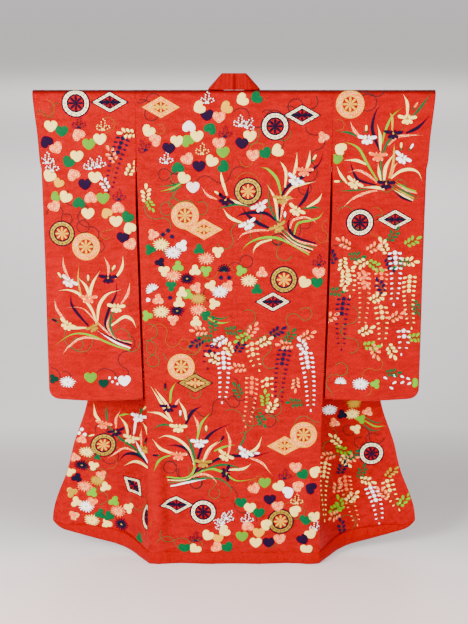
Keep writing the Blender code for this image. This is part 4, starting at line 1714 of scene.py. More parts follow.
    def strip(self, columns: int, rows: int) -> bpy.types.Object:
        """A plain grid of these numbers of points, modelled once."""
        if (columns, rows) not in self.strips:
            line = np.linspace(-1, 1, columns)
            grid = bent_grid("strip", line, np.linspace(0, 1, rows), lambda c, r: stack(c, r, 0.0))
            grid.data.color_attributes.new("thread", "FLOAT_COLOR", "CORNER")
            self.strips[columns, rows] = grid
        return self.strips[columns, rows]

    def put_away(self) -> None:
        """Take the pattern pieces out of the scene."""
        for piece in [pattern.piece for pattern in self.book.values()] + list(self.strips.values()):
            bpy.data.objects.remove(piece)


@dataclass
class Embroiderer:
    """Works a design on one panel and joins it to one piece."""

    name: str
    panel: Panel
    patterns: Patterns
    limits: Callable[[Array], tuple[Array, Array]]
    hand: float = 1.0
    middle: float | None = None  # chart column of the side seam, on a face that the chart doesn't show
    ease: float = 1.0
    fall: float = 0.0
    bottom: float = SHOULDER_TO_HEM - ROLL_HEIGHT - 0.004
    count: int = 0
    worked: list[bpy.types.Object] = field(default_factory=list)

    def cloth(self, x: float, y: float) -> tuple[float, float]:
        """Place across and down the panel of a chart point."""
        down = y - CHART_SHOULDER
        tall = SQUARE["tall"] + SQUARE["tall_growth"] * down
        if self.middle is not None:
            return (x - self.middle) * SQUARE_MEAN * self.hand, down * tall + HIDDEN_TOP
        wide = SQUARE["wide"] + SQUARE["wide_growth"] * down
        return self.panel.find((x - CHART_MIDDLE) * wide * self.ease, FOLD_RADIUS - down * tall - self.fall)

    def on_panel(self, across: float, drop: float) -> bool:
        """Whether a place is on the panel."""
        low, high = self.limits(np.array(drop))
        return bool(low < across < high and TOP_ROOM < drop < self.bottom)

    def sew(self, mesh: bpy.types.Mesh, at: tuple[float, float], flat: Array, colours: Array) -> None:
        """Lay a copied mesh on the cloth at a place.

        Args:
            mesh: own copy of a pattern's mesh.
            at: place across and down the panel.
            flat: its points right and up of the place, and their heights.
            colours: thread colour of each face corner.
        """
        drop = np.clip(at[1] - flat[:, 1], 0.0, self.bottom)
        across = np.clip(at[0] + flat[:, 0] * self.hand, *self.limits(drop))
        mesh.vertices.foreach_set("co", self.panel.lay(across, drop, flat[:, 2]).ravel())
        mesh.color_attributes["thread"].data.foreach_set("color", colours.ravel())
        self.worked.append(add_object(self.name, mesh))

    def work(
        self, kind: Kind, at: tuple[float, float], threads: Sequence[Thread], turn: float = 0.0, size: float = 1.0
    ) -> None:
        """Work one motif.

        Args:
            kind: which motif.
            at: place across and down the panel.
            threads: thread of each of its tones.
            turn: degrees clockwise.
            size: share of its usual size.
        """
        pattern = self.patterns.book[kind]
        self.count += 1
        lift = FIRST_LAYER + LAYER_STEP * (self.count % LAYERS)
        points = pattern.points * (size, size, 1.0)
        flat = stack(*turned(points, turn), points[:, 2] + np.where(points[:, 2] > 0, lift, 0.0))
        tones = np.array([thread.value for thread in threads])
        self.sew(pattern.piece.data.copy(), at, flat, tones[np.minimum(pattern.corner_tone, len(tones) - 1)])

    def line(self, thread: Thread, width: float, path: Array, taper: bool, lift: float) -> None:
        """Work a blade, a stem or a vine as a raised strip.

        Args:
            thread: its thread.
            width: its widest part, in metres.
            path: points across and down the panel.
            taper: narrow its start and bring its end to a point.
            lift: its height over the cloth.
        """
        length = float(np.sum(np.linalg.norm(np.diff(path, axis=0), axis=1)))
        rows = 8 * max(1, round(length / STEP_ALONG / 8)) + 1  # whole eights, so that few strips are modelled
        curve = refine(path, rows)
        right, up = (curve[:, 0] - curve[0, 0]) * self.hand, -(curve[:, 1] - curve[0, 1])
        ahead = unit(np.gradient(np.stack([right, up], axis=-1), axis=0))
        t = np.linspace(0, 1, rows)
        profile = (0.60 + 0.40 * ramp(t, 0.0, 0.35)) * (1 - 0.94 * ramp(t, 0.45, 1.0)) if taper else np.ones(rows)
        columns = 5 if taper else 3
        heights = np.array([-SUNK, 0.75, 1.0, 0.75, -SUNK] if taper else [-SUNK, 1.0, -SUNK])
        grid = self.patterns.strip(columns, rows)
        flat = coordinates(grid.data)
        i = np.rint((flat[:, 0] + 1) / 2 * (columns - 1)).astype(int)
        j = np.rint(flat[:, 1] * (rows - 1)).astype(int)
        half = flat[:, 0] * width / 2 * profile[j]
        height = np.where(heights[i] > 0, heights[i] * lift, -SUNK)
        points = stack(right[j] + ahead[j, 1] * half, up[j] - ahead[j, 0] * half, height)
        colours = np.tile(thread.value, (len(grid.data.loops), 1))
        mesh = grid.data.copy()
        run = np.stack([flat[:, 0] * width / 2, flat[:, 1] * length], axis=-1)
        chart(mesh, run)
        self.sew(mesh, (curve[0, 0], curve[0, 1]), points, colours)

    def vine(self, thread: Thread, x: float, y: float, heading: float, *arcs: float) -> None:
        """Work a curling tendril as a chain of arcs.

        Args:
            thread: its thread.
            x: chart column of its start.
            y: chart row of its start.
            heading: first direction, in degrees clockwise from up.
            arcs: length in squares and turn in degrees of each arc, one after the other.
        """
        at = np.array(self.cloth(x, y))
        if not self.on_panel(*at):
            return
        path, direction = [at], math.radians(heading)
        for length, turn in zip(arcs[::2], arcs[1::2]):
            steps = max(int(abs(turn) / 22), 2)
            for _ in range(steps):
                direction += math.radians(turn) / steps / 2
                step = np.array([math.sin(direction) * self.hand, -math.cos(direction)])
                path.append(path[-1] + step * length * SQUARE_MEAN / steps)
                direction += math.radians(turn) / steps / 2
        outside = [k for k, point in enumerate(path) if not self.on_panel(*point)]
        inside = path[: outside[0]] if outside else path
        if len(inside) > 3:
            self.line(thread, TENDRIL["width"], np.array(inside), False, TENDRIL["lift"])

    def raceme(self, thread: Thread, top: tuple[float, float], tip: tuple[float, float]) -> None:
        """Work a hanging flower cluster: a stem, pairs of petals and round florets near its top.

        Args:
            thread: thread of its petals.
            top: chart place of its top.
            tip: chart place of its tip.
        """
        start, end = np.array(self.cloth(*top)), np.array(self.cloth(*tip))
        if not (self.on_panel(*start) and self.on_panel(*end)):
            return
        way = end - start
        length = float(np.hypot(*way))
        down = way / length
        aside = np.array([-down[1], down[0]])
        lean = math.degrees(math.atan2(down[0] * self.hand, down[1]))
        stem = T.VINE if thread in (T.BLUE, T.GOLD) else T.GREEN
        sway = 0.006 if self.count % 2 else -0.005
        path = np.array([start, start + way / 2 + aside * sway, end])
        self.line(stem, STEM["width"], path, False, STEM["lift"])
        pairs = max(int(length / 0.0152), 3)
        for k in range(pairs):
            share = k / pairs
            at = start + way * share + aside * sway * 4 * share * (1 - share)
            reach = 0.0105 * (1 - 0.55 * share) * (0.55 + 0.45 * min(1.0, (k + 1) / 2))
            size = 1.0 - 0.42 * share
            for side in (-1.0, 1.0):
                root = at - aside * side * reach * self.hand + down * 0.001
                self.work(Kind.PETAL, tuple(root), (thread,), side * 101.0 - lean, size)
            if k < 4 and share < 0.42:
                self.work(Kind.DOT, tuple(at), (thread,), -lean, 1.0)
        self.work(Kind.PETAL, tuple(end), (thread,), 180.0 - lean, 0.7)

    def stitch(self, design: Design) -> None:
        """Work a whole design, from the lowest layer up.

        Args:
            design: what the chart shows for this panel.
        """
        for row in design.vines:
            self.vine(*row)
        for thread, width, points in design.blades:
            path = np.array([self.cloth(*point) for point in points])
            if all(self.on_panel(*point) for point in path):
                boost = DARK_WIDENING if thread in (T.NAVY, T.PURPLE) else BLADE_WIDENING
                self.line(thread, width * boost * SQUARE_MEAN, path, True, BLADE_LIFT)
        for thread, *ends in design.racemes:
            self.raceme(thread, tuple(ends[:2]), tuple(ends[2:]))
        for kind, rows in design.spots.items():
            for thread, spots in rows.items():
                for x, y, *extra in spots:
                    at = self.cloth(x, y)
                    if self.on_panel(*at):
                        hour, size = (*extra, *USUAL_SPOT[len(extra) :])
                        self.work(kind, at, self.tones(kind, thread), hour * 30.0, size)

    def tones(self, kind: Kind, thread: Thread) -> tuple[Thread, ...]:
        """Threads of a motif's tones, for its main thread."""
        if kind in (Kind.WHEEL, Kind.DIAMOND):
            if thread is T.WHITE:
                return (T.IVORY, T.IVORY, T.NAVY, T.NAVY)
            return (T.GOLD, T.GOLD, T.NAVY, T.STRAW) if thread is T.GOLD else (T.PINK, T.PINK, T.STRAW, T.STRAW)
        if kind in (Kind.MUM, Kind.IRIS, Kind.FAN):
            return (thread, T.GREEN if kind is Kind.FAN else T.GOLD)
        if kind in (Kind.SPRAY, Kind.LEAF, Kind.BUD):
            return (thread, T.GREEN if kind is Kind.BUD else T.VINE)
        return (thread, EDGES.get(thread, thread))

    def finish(self, garment: Garment) -> None:
        """Join the work to one piece and hand it over."""
        only(*self.worked)
        bpy.ops.object.join()
        piece = self.worked[0]
        piece.name = piece.data.name = self.name
        soften(piece, STITCH_ANGLE)
        garment.wardrobe.dress(piece, garment.wardrobe.thread)
        garment.hand_over(piece, "red_silk")


LEFT_SLEEVE = Design(
    spots={
        Kind.WHEEL: {T.WHITE: ((76, 103),), T.GOLD: ((62, 233, 12, 0.92),), T.PINK: ((86, 246),)},
        Kind.DIAMOND: {T.WHITE: ((110, 102),)},
        Kind.HEART: {
            T.CREAM: (
                (51, 125), (100, 138), (77, 155), (50, 175, 1), (95, 176), (66, 196, 1), (88, 212), (116, 220),
                (130, 228, 5),
            ),
            T.PINK: (
                (79, 135, 5), (56, 147, 11), (74, 175, 5), (54, 205, 11), (91, 198, 6), (118, 208, 6), (130, 243, 11),
            ),
            T.GREEN: ((62, 130), (69, 161, 1), (79, 203, 6), (128, 216, 1)),
            T.LIME: ((89, 143), (103, 197), (56, 196, 2, 0.8), (90, 376)), T.TEAL: ((103, 382, 12, 0.85),),
            T.WHITE: ((124, 379),), T.NAVY: ((47, 142, 5), (85, 183), (123, 236)),
            T.GOLD: ((59, 182, 1, 0.85), (107, 213, 5, 0.9)),
        },
        Kind.SPRAY: {
            T.BLUE: ((79, 124), (119, 196)), T.SAND: ((103, 126),),
            T.WHITE: ((47, 159), (52, 167), (99, 163), (90, 165)),
        },
        Kind.LEAF: {
            T.CREAM: ((128, 133, 9), (131, 169, 1)), T.PINK: ((112, 155, 11),), T.BLUSH: ((105, 184, 11, 0.9),),
        },
        Kind.IRIS: {
            T.BLUSH: ((69, 281, 1),), T.PURPLE: ((108, 278),), T.PINK: ((88, 298),),
            T.CREAM: ((116, 307), (67, 324, 1)), T.GOLD: ((93, 327, 11, 0.8),),
        },
        Kind.BUD: {T.CREAM: ((60, 275, 11), (113, 268, 1), (88, 278)), T.NAVY: ((55, 320, 10),)},
        Kind.MUM: {T.WHITE: ((67, 381, 12, 0.95),)}, Kind.CLOVER: {T.TEAL: ((53, 378, 3, 0.9),)},
        Kind.DOT: {T.WHITE: ((109, 377, 12, 0.6), (112, 381, 12, 0.6), (115, 377, 12, 0.6), (117, 383, 12, 0.6))},
    },
    blades=(
        (T.LIME, 1.5, ((129, 349), (112, 344), (88, 334), (70, 334), (50, 348))),
        (T.WHITE, 1.5, ((130, 347), (114, 341), (97, 330))), (T.NAVY, 1.5, ((131, 344), (116, 339), (98, 331))),
        (T.PINK, 1.6, ((132, 342), (114, 337), (97, 322), (83, 308), (66, 306))),
        (T.GREEN, 1.7, ((132, 340), (116, 338), (110, 325), (113, 311), (124, 305), (138, 302))),
        (T.NAVY, 1.6, ((112, 337), (105, 324), (109, 308), (116, 293), (116, 281))),
        (T.PINK, 1.6, ((112, 336), (107, 325), (110, 313))),
        (T.LIME, 1.8, ((109, 335), (96, 314), (98, 300), (107, 286), (123, 277), (137, 256))),
        (T.CREAM, 2.3, ((97, 320), (99, 305), (107, 294), (121, 289))),
        (T.CREAM, 2.3, ((111, 325), (124, 316), (132, 319), (136, 327))),
        (T.CREAM, 2.2, ((96, 322), (91, 308), (80, 294), (68, 289), (58, 290))),
        (T.CREAM, 2.2, ((90, 300), (86, 286), (78, 277))), (T.CREAM, 2.2, ((89, 300), (92, 284), (100, 270))),
        (T.NAVY, 1.7, ((88, 325), (76, 311), (71, 302), (71, 293))), (T.PINK, 2.0, ((66, 321), (57, 309), (54, 298))),
        (T.CREAM, 2.0, ((86, 327), (72, 327), (62, 325))),
        (T.PINK, 1.8, ((101, 339), (82, 337), (68, 346), (62, 354))),
        (T.GREEN, 1.8, ((74, 288), (57, 279), (48, 267), (45, 259))),
        (T.PINK, 1.8, ((69, 278), (64, 266), (63, 255))), (T.GOLD, 1.6, ((82, 298), (78, 280), (79, 262))),
        (T.CREAM, 2.1, ((115, 278), (122, 267), (123, 255))), (T.PINK, 2.0, ((108, 275), (108, 265), (104, 256))),
        (T.PINK, 2.0, ((121, 303), (128, 292), (130, 280))),
    ),
    racemes=((T.BLUE, 123, 138, 109, 190),),
    vines=(
        (T.VINE, 60, 104, 300, 14, -150, 12, 190, 16, -160),
        (T.DUSK, 64, 214, 60, 30, 330, 26, -200, 24, 160, 30, -300),
        (T.DUSK, 46, 240, 200, 30, -160, 30, 100, 34, -330),
        (T.DUSK, 98, 240, 90, 34, 330, 22, -160, 24, 150, 14, -120),
        (T.DUSK, 84, 220, 100, 36, 340, 30, -200, 24, 190), (T.GREEN, 118, 327, 20, 40, -330, 20, 140),
        (T.GREEN, 92, 338, 170, 30, 150, 34, 320, 24, 100, 26, -150, 14, 120),
        (T.GREEN, 128, 350, 120, 16, -120, 34, 330), (T.DUSK, 62, 371, 60, 28, 300, 20, -140, 24, 120),
        (T.DUSK, 96, 372, 40, 24, 120, 26, -230, 24, 160, 22, -150),
        (T.FAINT, 48, 100, 100, 26, 200, 22, -180, 20, 160), (T.FAINT, 104, 118, 60, 24, 200, 24, -180),
        (T.FAINT, 110, 236, 200, 20, 260, 18, -140),
    ),
)

RIGHT_SLEEVE = Design(
    spots={
        Kind.WHEEL: {T.PINK: ((350, 104),), T.WHITE: ((360, 222),)}, Kind.DIAMOND: {T.WHITE: ((395, 219),)},
        Kind.HEART: {T.CREAM: ((341, 149, 4),), T.LIME: ((337, 158, 12, 0.9),)},
        Kind.IRIS: {
            T.WHITE: ((367, 139, 12), (402, 158, 1)), T.PURPLE: ((393, 134), (386, 184)),
            T.CREAM: ((407, 119), (354, 183, 1)), T.PINK: ((378, 156),),
        },
        Kind.BUD: {
            T.CREAM: ((366, 129), (401, 146), (338, 181, 9)), T.PINK: ((415, 106, 1),), T.WHITE: ((411, 147, 1),),
        },
        Kind.MUM: {T.WHITE: ((361, 383),)}, Kind.FAN: {T.WHITE: ((341, 383, 12, 0.9),)},
        Kind.CLOVER: {T.LIME: ((376, 383, 9, 0.9), (417, 382, 3, 0.9))},
        Kind.LEAF: {
            T.PINK: ((345, 243, 10), (374, 247, 2), (330, 317, 2), (396, 316, 2), (375, 350, 5), (364, 277, 5)),
            T.GREEN: ((356, 256, 3), (393, 235, 1), (393, 372, 3, 0.9), (402, 263, 8), (335, 291, 3), (417, 307, 5)),
            T.LIME: ((375, 265, 4), (412, 241, 2), (371, 345, 3), (416, 337, 3)),
            T.BLUE: ((332, 256, 11), (390, 262, 5), (381, 286, 11)),
            T.CREAM: (
                (343, 264, 6), (361, 263, 8), (409, 261, 3), (384, 246, 11), (345, 280, 6), (377, 297, 2),
                (366, 330, 2), (392, 350, 5),
            ),
        },
        Kind.PETAL: {
            T.WHITE: (
                (388, 378, 10), (393, 383, 2), (397, 376, 10), (401, 383, 2), (405, 377, 10), (408, 384, 2),
                (411, 379, 10), (390, 386, 4),
            ),
        },
    },
    blades=(
        (T.NAVY, 1.5, ((412, 201), (402, 197), (392, 190))), (T.CREAM, 1.5, ((413, 200), (403, 195), (392, 188))),
        (T.GOLD, 1.5, ((414, 198), (404, 193), (392, 186))), (T.GREEN, 1.4, ((415, 196), (404, 191), (392, 184))),
        (T.PINK, 1.5, ((417, 193), (405, 189), (393, 182))), (T.LIME, 1.6, ((416, 191), (406, 188), (394, 180))),
        (T.LIME, 1.8, ((378, 181), (368, 165), (360, 150), (352, 144), (343, 142))),
        (T.CREAM, 2.2, ((366, 164), (356, 160), (344, 160))),
        (T.PINK, 2.0, ((377, 182), (367, 174), (357, 170), (348, 172))),
        (T.NAVY, 1.6, ((376, 185), (362, 181), (356, 177), (352, 168), (350, 159))),
        (T.CREAM, 2.0, ((347, 183), (341, 175), (337, 166))), (T.GREEN, 1.5, ((368, 189), (352, 190), (336, 191))),
        (T.PINK, 2.0, ((377, 190), (364, 193), (352, 199), (342, 208))),
        (T.CREAM, 2.3, ((384, 189), (375, 187), (361, 187))), (T.CREAM, 2.2, ((381, 180), (379, 172), (378, 163))),
        (T.GREEN, 1.8, ((382, 180), (381, 164), (385, 147), (391, 138), (401, 130), (405, 122))),
        (T.GREEN, 2.0, ((412, 117), (422, 105), (431, 92))), (T.CREAM, 2.6, ((384, 180), (386, 166), (395, 152))),
        (T.GOLD, 1.9, ((389, 178), (393, 164), (394, 151), (394, 142))),
        (T.PINK, 2.0, ((391, 178), (393, 168), (398, 162))),
        (T.LIME, 1.9, ((391, 179), (396, 169), (406, 163), (418, 161), (427, 163))),
        (T.CREAM, 2.3, ((391, 178), (400, 171), (410, 169), (418, 172), (422, 180))),
        (T.PINK, 2.2, ((410, 158), (420, 150), (428, 138))),
        (T.NAVY, 1.9, ((380, 151), (375, 139), (372, 127), (375, 113), (380, 105))),
        (T.CREAM, 2.2, ((380, 151), (380, 136), (377, 124))),
        (T.LIME, 1.6, ((382, 143), (385, 131), (392, 116), (403, 107))),
        (T.GOLD, 1.7, ((392, 131), (392, 118), (389, 111))), (T.CREAM, 2.2, ((407, 116), (407, 103), (403, 94))),
        (T.NAVY, 1.9, ((406, 133), (418, 127), (429, 116))),
        (T.PINK, 1.9, ((388, 145), (397, 137), (410, 135), (423, 135))),
        (T.PINK, 2.2, ((360, 137), (354, 130), (350, 121))), (T.GREEN, 1.8, ((357, 136), (347, 132), (337, 132))),
    ),
    racemes=(
        (T.WHITE, 395, 252, 394, 302), (T.CREAM, 410, 276, 412, 326), (T.PINK, 364, 272, 362, 326),
        (T.BLUE, 344, 298, 342, 347), (T.SAND, 381, 306, 382, 342), (T.PINK, 381, 268, 379, 300),
        (T.CREAM, 348, 270, 350, 294), (T.BLUSH, 404, 330, 402, 352),
    ),
    vines=(
        (T.DUSK, 352, 94, 60, 20, 60, 30, 200, 22, 160, 28, -180),
        (T.DUSK, 372, 103, 20, 14, -60, 12, 120, 12, 180, 14, -190, 12, 120),
        (T.GREEN, 338, 210, 30, 24, 170, 30, -190, 22, 150, 34, -320),
        (T.GREEN, 396, 180, 60, 34, 300, 34, -330, 24, 150, 14, -160),
        (T.GREEN, 336, 365, 30, 30, 260, 26, -160, 24, 170, 24, -150, 20, 140),
        (T.DUSK, 342, 234, 140, 24, 200, 24, -170, 20, 150), (T.GREEN, 350, 352, 100, 26, -200, 24, 190, 26, -160),
        (T.FAINT, 372, 208, 60, 24, 200, 22, -170, 20, 160), (T.FAINT, 374, 358, 60, 26, 240, 24, -190, 20, 150),
        (T.FAINT, 336, 120, 60, 20, 220, 16, -170),
    ),
)

BACK = Design(
    spots={
        Kind.WHEEL: {
            T.PINK: ((185, 215), (181, 366), (304, 434)), T.WHITE: ((275, 126), (203, 511)),
            T.GOLD: ((248, 191), (284, 279), (281, 521)),
        },
        Kind.DIAMOND: {
            T.PINK: ((161, 107), (204, 229), (285, 445)), T.GOLD: ((195, 382),),
            T.WHITE: ((302, 115), (273, 301), (176, 504)),
        },
        Kind.HEART: {
            T.CREAM: (
                (200, 107, 2), (197, 135), (177, 140), (149, 130, 1), (212, 160, 1), (184, 177, 1), (243, 99, 2),
                (250, 135), (278, 150, 2), (305, 281, 1), (208, 534, 1), (225, 530, 2), (195, 548, 1), (316, 471, 4),
                (279, 485, 11), (250, 506), (296, 511, 4), (315, 515), (256, 541), (311, 532, 11), (307, 548),
                (267, 524, 4),
            ),
            T.PINK: (
                (219, 116), (155, 140, 8), (219, 142), (187, 158, 11), (253, 154), (319, 271), (216, 546, 10),
                (296, 466), (254, 487, 11), (299, 486, 4), (278, 505), (248, 526, 6), (280, 538),
            ),
            T.BLUSH: ((189, 127, 6), (193, 186)), T.WHITE: ((288, 492, 8),),
            T.GREEN: (
                (210, 129, 7), (178, 168, 6), (223, 166, 10), (257, 97, 2), (265, 152, 11), (317, 281),
                (227, 546, 11), (184, 547), (303, 473, 11), (241, 501), (259, 511), (306, 518),
            ),
            T.LIME: ((188, 141, 5), (223, 151), (265, 481), (242, 535)),
            T.NAVY: (
                (207, 114), (169, 147), (199, 165), (242, 142), (312, 487, 4), (270, 498), (269, 541), (303, 538, 11),
            ),
            T.GOLD: ((227, 107, 2), (218, 537, 12, 0.9), (259, 531)),
        },
        Kind.SPRAY: {
            T.WHITE: (
                (207, 99), (166, 159), (240, 122), (248, 124, 1), (223, 519), (219, 523, 10), (247, 518), (316, 526),
                (228, 515, 1),
            ),
            T.BLUE: ((225, 133), (144, 147, 11), (319, 261), (195, 537), (285, 475)),
            T.SAND: ((202, 150), (297, 500)),
        },
        Kind.MUM: {
            T.CREAM: ((161, 244), (161, 311), (249, 280)), T.WHITE: ((173, 252), (220, 291)),
            T.PINK: ((173, 275), (206, 258), (198, 309)), T.NAVY: ((187, 278, 12, 0.9), (177, 310, 12, 0.95)),
            T.GOLD: ((198, 298, 12, 0.95),),
        },
        Kind.FAN: {T.NAVY: ((224, 271),), T.WHITE: ((153, 290, 11),)},
        Kind.CLOVER: {
            T.PINK: (
                (153, 234, 11), (228, 285, 1), (196, 287, 1), (158, 299), (173, 319, 6), (262, 272), (323, 137, 11),
            ),
            T.GREEN: ((150, 249, 11), (171, 285, 6), (199, 249), (205, 314, 2), (257, 289, 4)),
            T.NAVY: ((160, 262, 9, 0.9),),
            T.CREAM: (
                (164, 270, 2), (218, 251, 2), (195, 270), (211, 285, 1), (182, 292), (179, 302), (214, 303, 11),
                (196, 321),
            ),
            T.WHITE: ((182, 245, 1),),
            T.LIME: ((178, 266), (206, 270, 2), (188, 294), (147, 315, 11), (241, 270, 11)),
        },
        Kind.DOT: {
            T.BLUE: ((168, 230), (163, 234), (172, 236), (221, 277), (229, 277), (170, 297)),
            T.WHITE: ((157, 296), (148, 299)),
        },
        Kind.IRIS: {
            T.PURPLE: ((225, 200, 1), (168, 407), (226, 472, 3)), T.BLUSH: ((260, 206, 11),),
            T.PINK: ((304, 171), (178, 455)), T.WHITE: ((248, 224, 11), (295, 180, 1), (199, 442), (245, 452, 1)),
            T.CREAM: ((296, 210, 1), (178, 427), (225, 455, 1)), T.GOLD: ((278, 227, 11), (282, 199), (203, 462, 12)),
        },
        Kind.BUD: {
            T.CREAM: ((218, 193, 10), (206, 428), (314, 158, 1)), T.WHITE: ((285, 215), (256, 452, 3), (180, 413)),
            T.NAVY: ((156, 454, 9), (222, 438, 1), (165, 386)),
        },
        Kind.LEAF: {
            T.CREAM: ((146, 194, 12), (214, 358, 10), (264, 341, 2), (272, 406, 1), (229, 348, 11)),
            T.LIME: ((150, 204, 5, 0.8), (265, 398), (243, 337, 8)),
            T.GREEN: (
                (213, 325, 12), (207, 337, 9), (238, 390, 11), (296, 402, 9), (261, 418, 5), (232, 330, 3),
                (290, 336, 1),
            ),
            T.PINK: ((200, 330, 9), (239, 367, 9), (286, 344, 9), (307, 335, 2), (296, 383, 6, 0.9), (252, 330, 1)),
            T.BLUE: ((240, 346, 1), (197, 342, 8, 0.9), (277, 331, 2)), T.WHITE: ((303, 345, 11), (220, 340, 8)),
        },
    },
    blades=(
        # the iris bundle on the right shoulder
        (T.NAVY, 1.6, ((316, 243), (295, 236), (288, 225), (291, 215))),
        (T.PINK, 1.6, ((317, 245), (297, 240), (283, 228))),
        (T.GREEN, 1.6, ((315, 247), (296, 241), (281, 226), (270, 206), (269, 188), (277, 170))),
        (T.CREAM, 1.5, ((313, 249), (295, 243), (281, 231))), (T.NAVY, 1.5, ((312, 250), (294, 243), (279, 231))),
        (T.PINK, 1.7, ((310, 252), (293, 244), (278, 233))),
        (T.LIME, 1.9, ((309, 254), (288, 242), (274, 237), (259, 238), (247, 244), (241, 251))),
        (T.NAVY, 2.0, ((299, 206), (306, 196), (309, 183))),
        (T.LIME, 2.1, ((281, 194), (277, 179), (268, 169), (261, 167))),
        (T.CREAM, 2.1, ((278, 220), (275, 199), (267, 184))), (T.NAVY, 1.9, ((279, 220), (280, 203))),
        (T.NAVY, 2.1, ((282, 195), (286, 188), (292, 183), (302, 177), (314, 168), (320, 162), (323, 152))),
        (T.CREAM, 2.0, ((285, 196), (293, 187), (303, 184), (316, 181))),
        (T.PINK, 1.9, ((280, 221), (283, 206), (288, 199), (296, 198))),
        (T.CREAM, 2.0, ((285, 187), (286, 173), (283, 165), (280, 161))),
        (T.CREAM, 2.2, ((293, 176), (296, 166), (297, 152))), (T.CREAM, 2.6, ((306, 169), (309, 161), (310, 150))),
        (T.CREAM, 2.2, ((307, 207), (318, 200), (322, 193))), (T.GREEN, 1.8, ((303, 208), (314, 207), (323, 208))),
        (T.LIME, 1.8, ((294, 234), (298, 223), (310, 220), (319, 217), (323, 211))),
        (T.PINK, 1.9, ((290, 228), (293, 220), (303, 217), (312, 219), (317, 223))),
        (T.NAVY, 2.0, ((276, 220), (266, 213), (252, 212), (241, 214), (236, 217))),
        (T.NAVY, 2.2, ((270, 228), (259, 223), (248, 215), (242, 207))),
        (T.CREAM, 2.2, ((243, 223), (230, 217), (223, 208))),
        (T.GREEN, 1.9, ((250, 206), (237, 204), (226, 206), (215, 209))),
        (T.CREAM, 2.0, ((247, 205), (237, 202), (230, 198))),
        (T.PINK, 1.8, ((269, 230), (256, 230), (244, 233), (238, 239))),
        (T.CREAM, 1.9, ((272, 239), (261, 242), (255, 247), (253, 253))),
        (T.CREAM, 2.2, ((227, 195), (222, 179), (221, 170))), (T.PINK, 1.8, ((217, 199), (208, 195), (201, 186))),
        # the iris bundle low on the left
        (T.LIME, 1.7, ((166, 477), (186, 477), (194, 468), (192, 455), (186, 449))),
        (T.NAVY, 1.6, ((168, 479), (188, 477), (199, 466), (213, 459))),
        (T.CREAM, 1.6, ((167, 480), (188, 478), (196, 466))),
        (T.GREEN, 1.6, ((168, 483), (190, 479), (213, 477), (226, 482), (231, 491), (218, 500))),
        (T.WHITE, 1.6, ((170, 486), (190, 481), (206, 478))), (T.CREAM, 2.2, ((172, 421), (162, 404), (150, 385))),
        (T.CREAM, 2.2, ((169, 407), (163, 399), (154, 387))), (T.LIME, 1.8, ((170, 402), (171, 390), (176, 381))),
        (T.PINK, 1.9, ((174, 406), (177, 401), (180, 397))), (T.CREAM, 2.2, ((186, 419), (184, 409), (178, 399))),
        (T.NAVY, 2.0, ((184, 426), (192, 411), (202, 405))), (T.CREAM, 2.2, ((170, 420), (160, 413), (147, 411))),
        (T.GREEN, 1.8, ((174, 425), (161, 424), (151, 429))), (T.GREEN, 2.1, ((196, 463), (191, 445), (184, 431))),
        (T.LIME, 1.9, ((196, 442), (201, 423), (210, 412))), (T.PINK, 2.1, ((198, 430), (197, 421), (193, 414))),
        (T.NAVY, 2.1, ((196, 463), (203, 443), (213, 431), (232, 422))),
        (T.CREAM, 2.3, ((194, 464), (188, 448), (178, 439), (166, 435), (158, 437))),
        (T.NAVY, 1.9, ((193, 462), (188, 450), (178, 445), (165, 445))),
        (T.CREAM, 2.2, ((174, 454), (161, 448), (152, 438))), (T.LIME, 1.8, ((170, 455), (159, 459), (153, 471))),
        (T.PINK, 2.0, ((204, 460), (211, 447), (223, 439))), (T.CREAM, 2.2, ((203, 460), (209, 448), (218, 440))),
        (T.LIME, 1.7, ((214, 450), (224, 446), (235, 444))), (T.PINK, 2.0, ((228, 454), (230, 440), (225, 427))),
        (T.NAVY, 1.9, ((197, 471), (220, 457), (240, 455), (256, 455), (272, 450))),
        (T.CREAM, 2.3, ((247, 453), (257, 447), (262, 436))), (T.PINK, 2.0, ((250, 457), (262, 462), (273, 475))),
        (T.GREEN, 1.7, ((236, 452), (244, 438), (247, 424))),
        (T.LIME, 1.9, ((190, 476), (208, 468), (222, 471), (237, 480), (258, 477))),
        (T.GREEN, 1.9, ((203, 469), (220, 464), (235, 466), (248, 474))),
        (T.CREAM, 2.1, ((228, 469), (243, 468), (251, 463))),
        (T.PINK, 1.9, ((189, 477), (203, 473), (213, 477), (218, 484))),
        # the loose ends of two smaller bundles
        (T.GREEN, 1.5, ((181, 182), (172, 185), (156, 186))), (T.LIME, 1.5, ((181, 183), (172, 188), (160, 191))),
        (T.GREEN, 1.5, ((182, 185), (174, 190), (163, 193))), (T.GREEN, 1.6, ((209, 315), (221, 318), (232, 314))),
        (T.LIME, 1.6, ((206, 316), (219, 322), (231, 321))), (T.GREEN, 1.6, ((204, 317), (214, 324), (225, 326))),
    ),
    racemes=(
        (T.WHITE, 223, 352, 222, 400), (T.SAND, 252, 343, 259, 368), (T.CREAM, 267, 378, 272, 393),
        (T.PINK, 252, 377, 246, 424), (T.BLUE, 285, 349, 279, 404), (T.WHITE, 306, 352, 311, 408),
        (T.BLUE, 212, 345, 208, 366),
    ),
    vines=(
        (T.DUSK, 140, 99, 90, 22, 70, 34, 300, 30, -260, 24, 190, 22, -150, 22, 160),
        (T.DUSK, 136, 164, 50, 22, 140, 24, -170, 26, 60, 30, 340, 12, -60),
        (T.DUSK, 196, 182, 20, 20, 120, 22, -130, 18, 110), (T.DUSK, 170, 180, 160, 30, -320, 30, 300, 16, -90),
        (T.GREEN, 145, 203, 200, 26, -130, 22, 170, 28, -120),
        (T.GREEN, 170, 214, 240, 34, 300, 30, -260, 26, 150, 34, -300, 20, 120),
        (T.GREEN, 198, 202, 60, 34, 300, 22, -160, 30, 330),
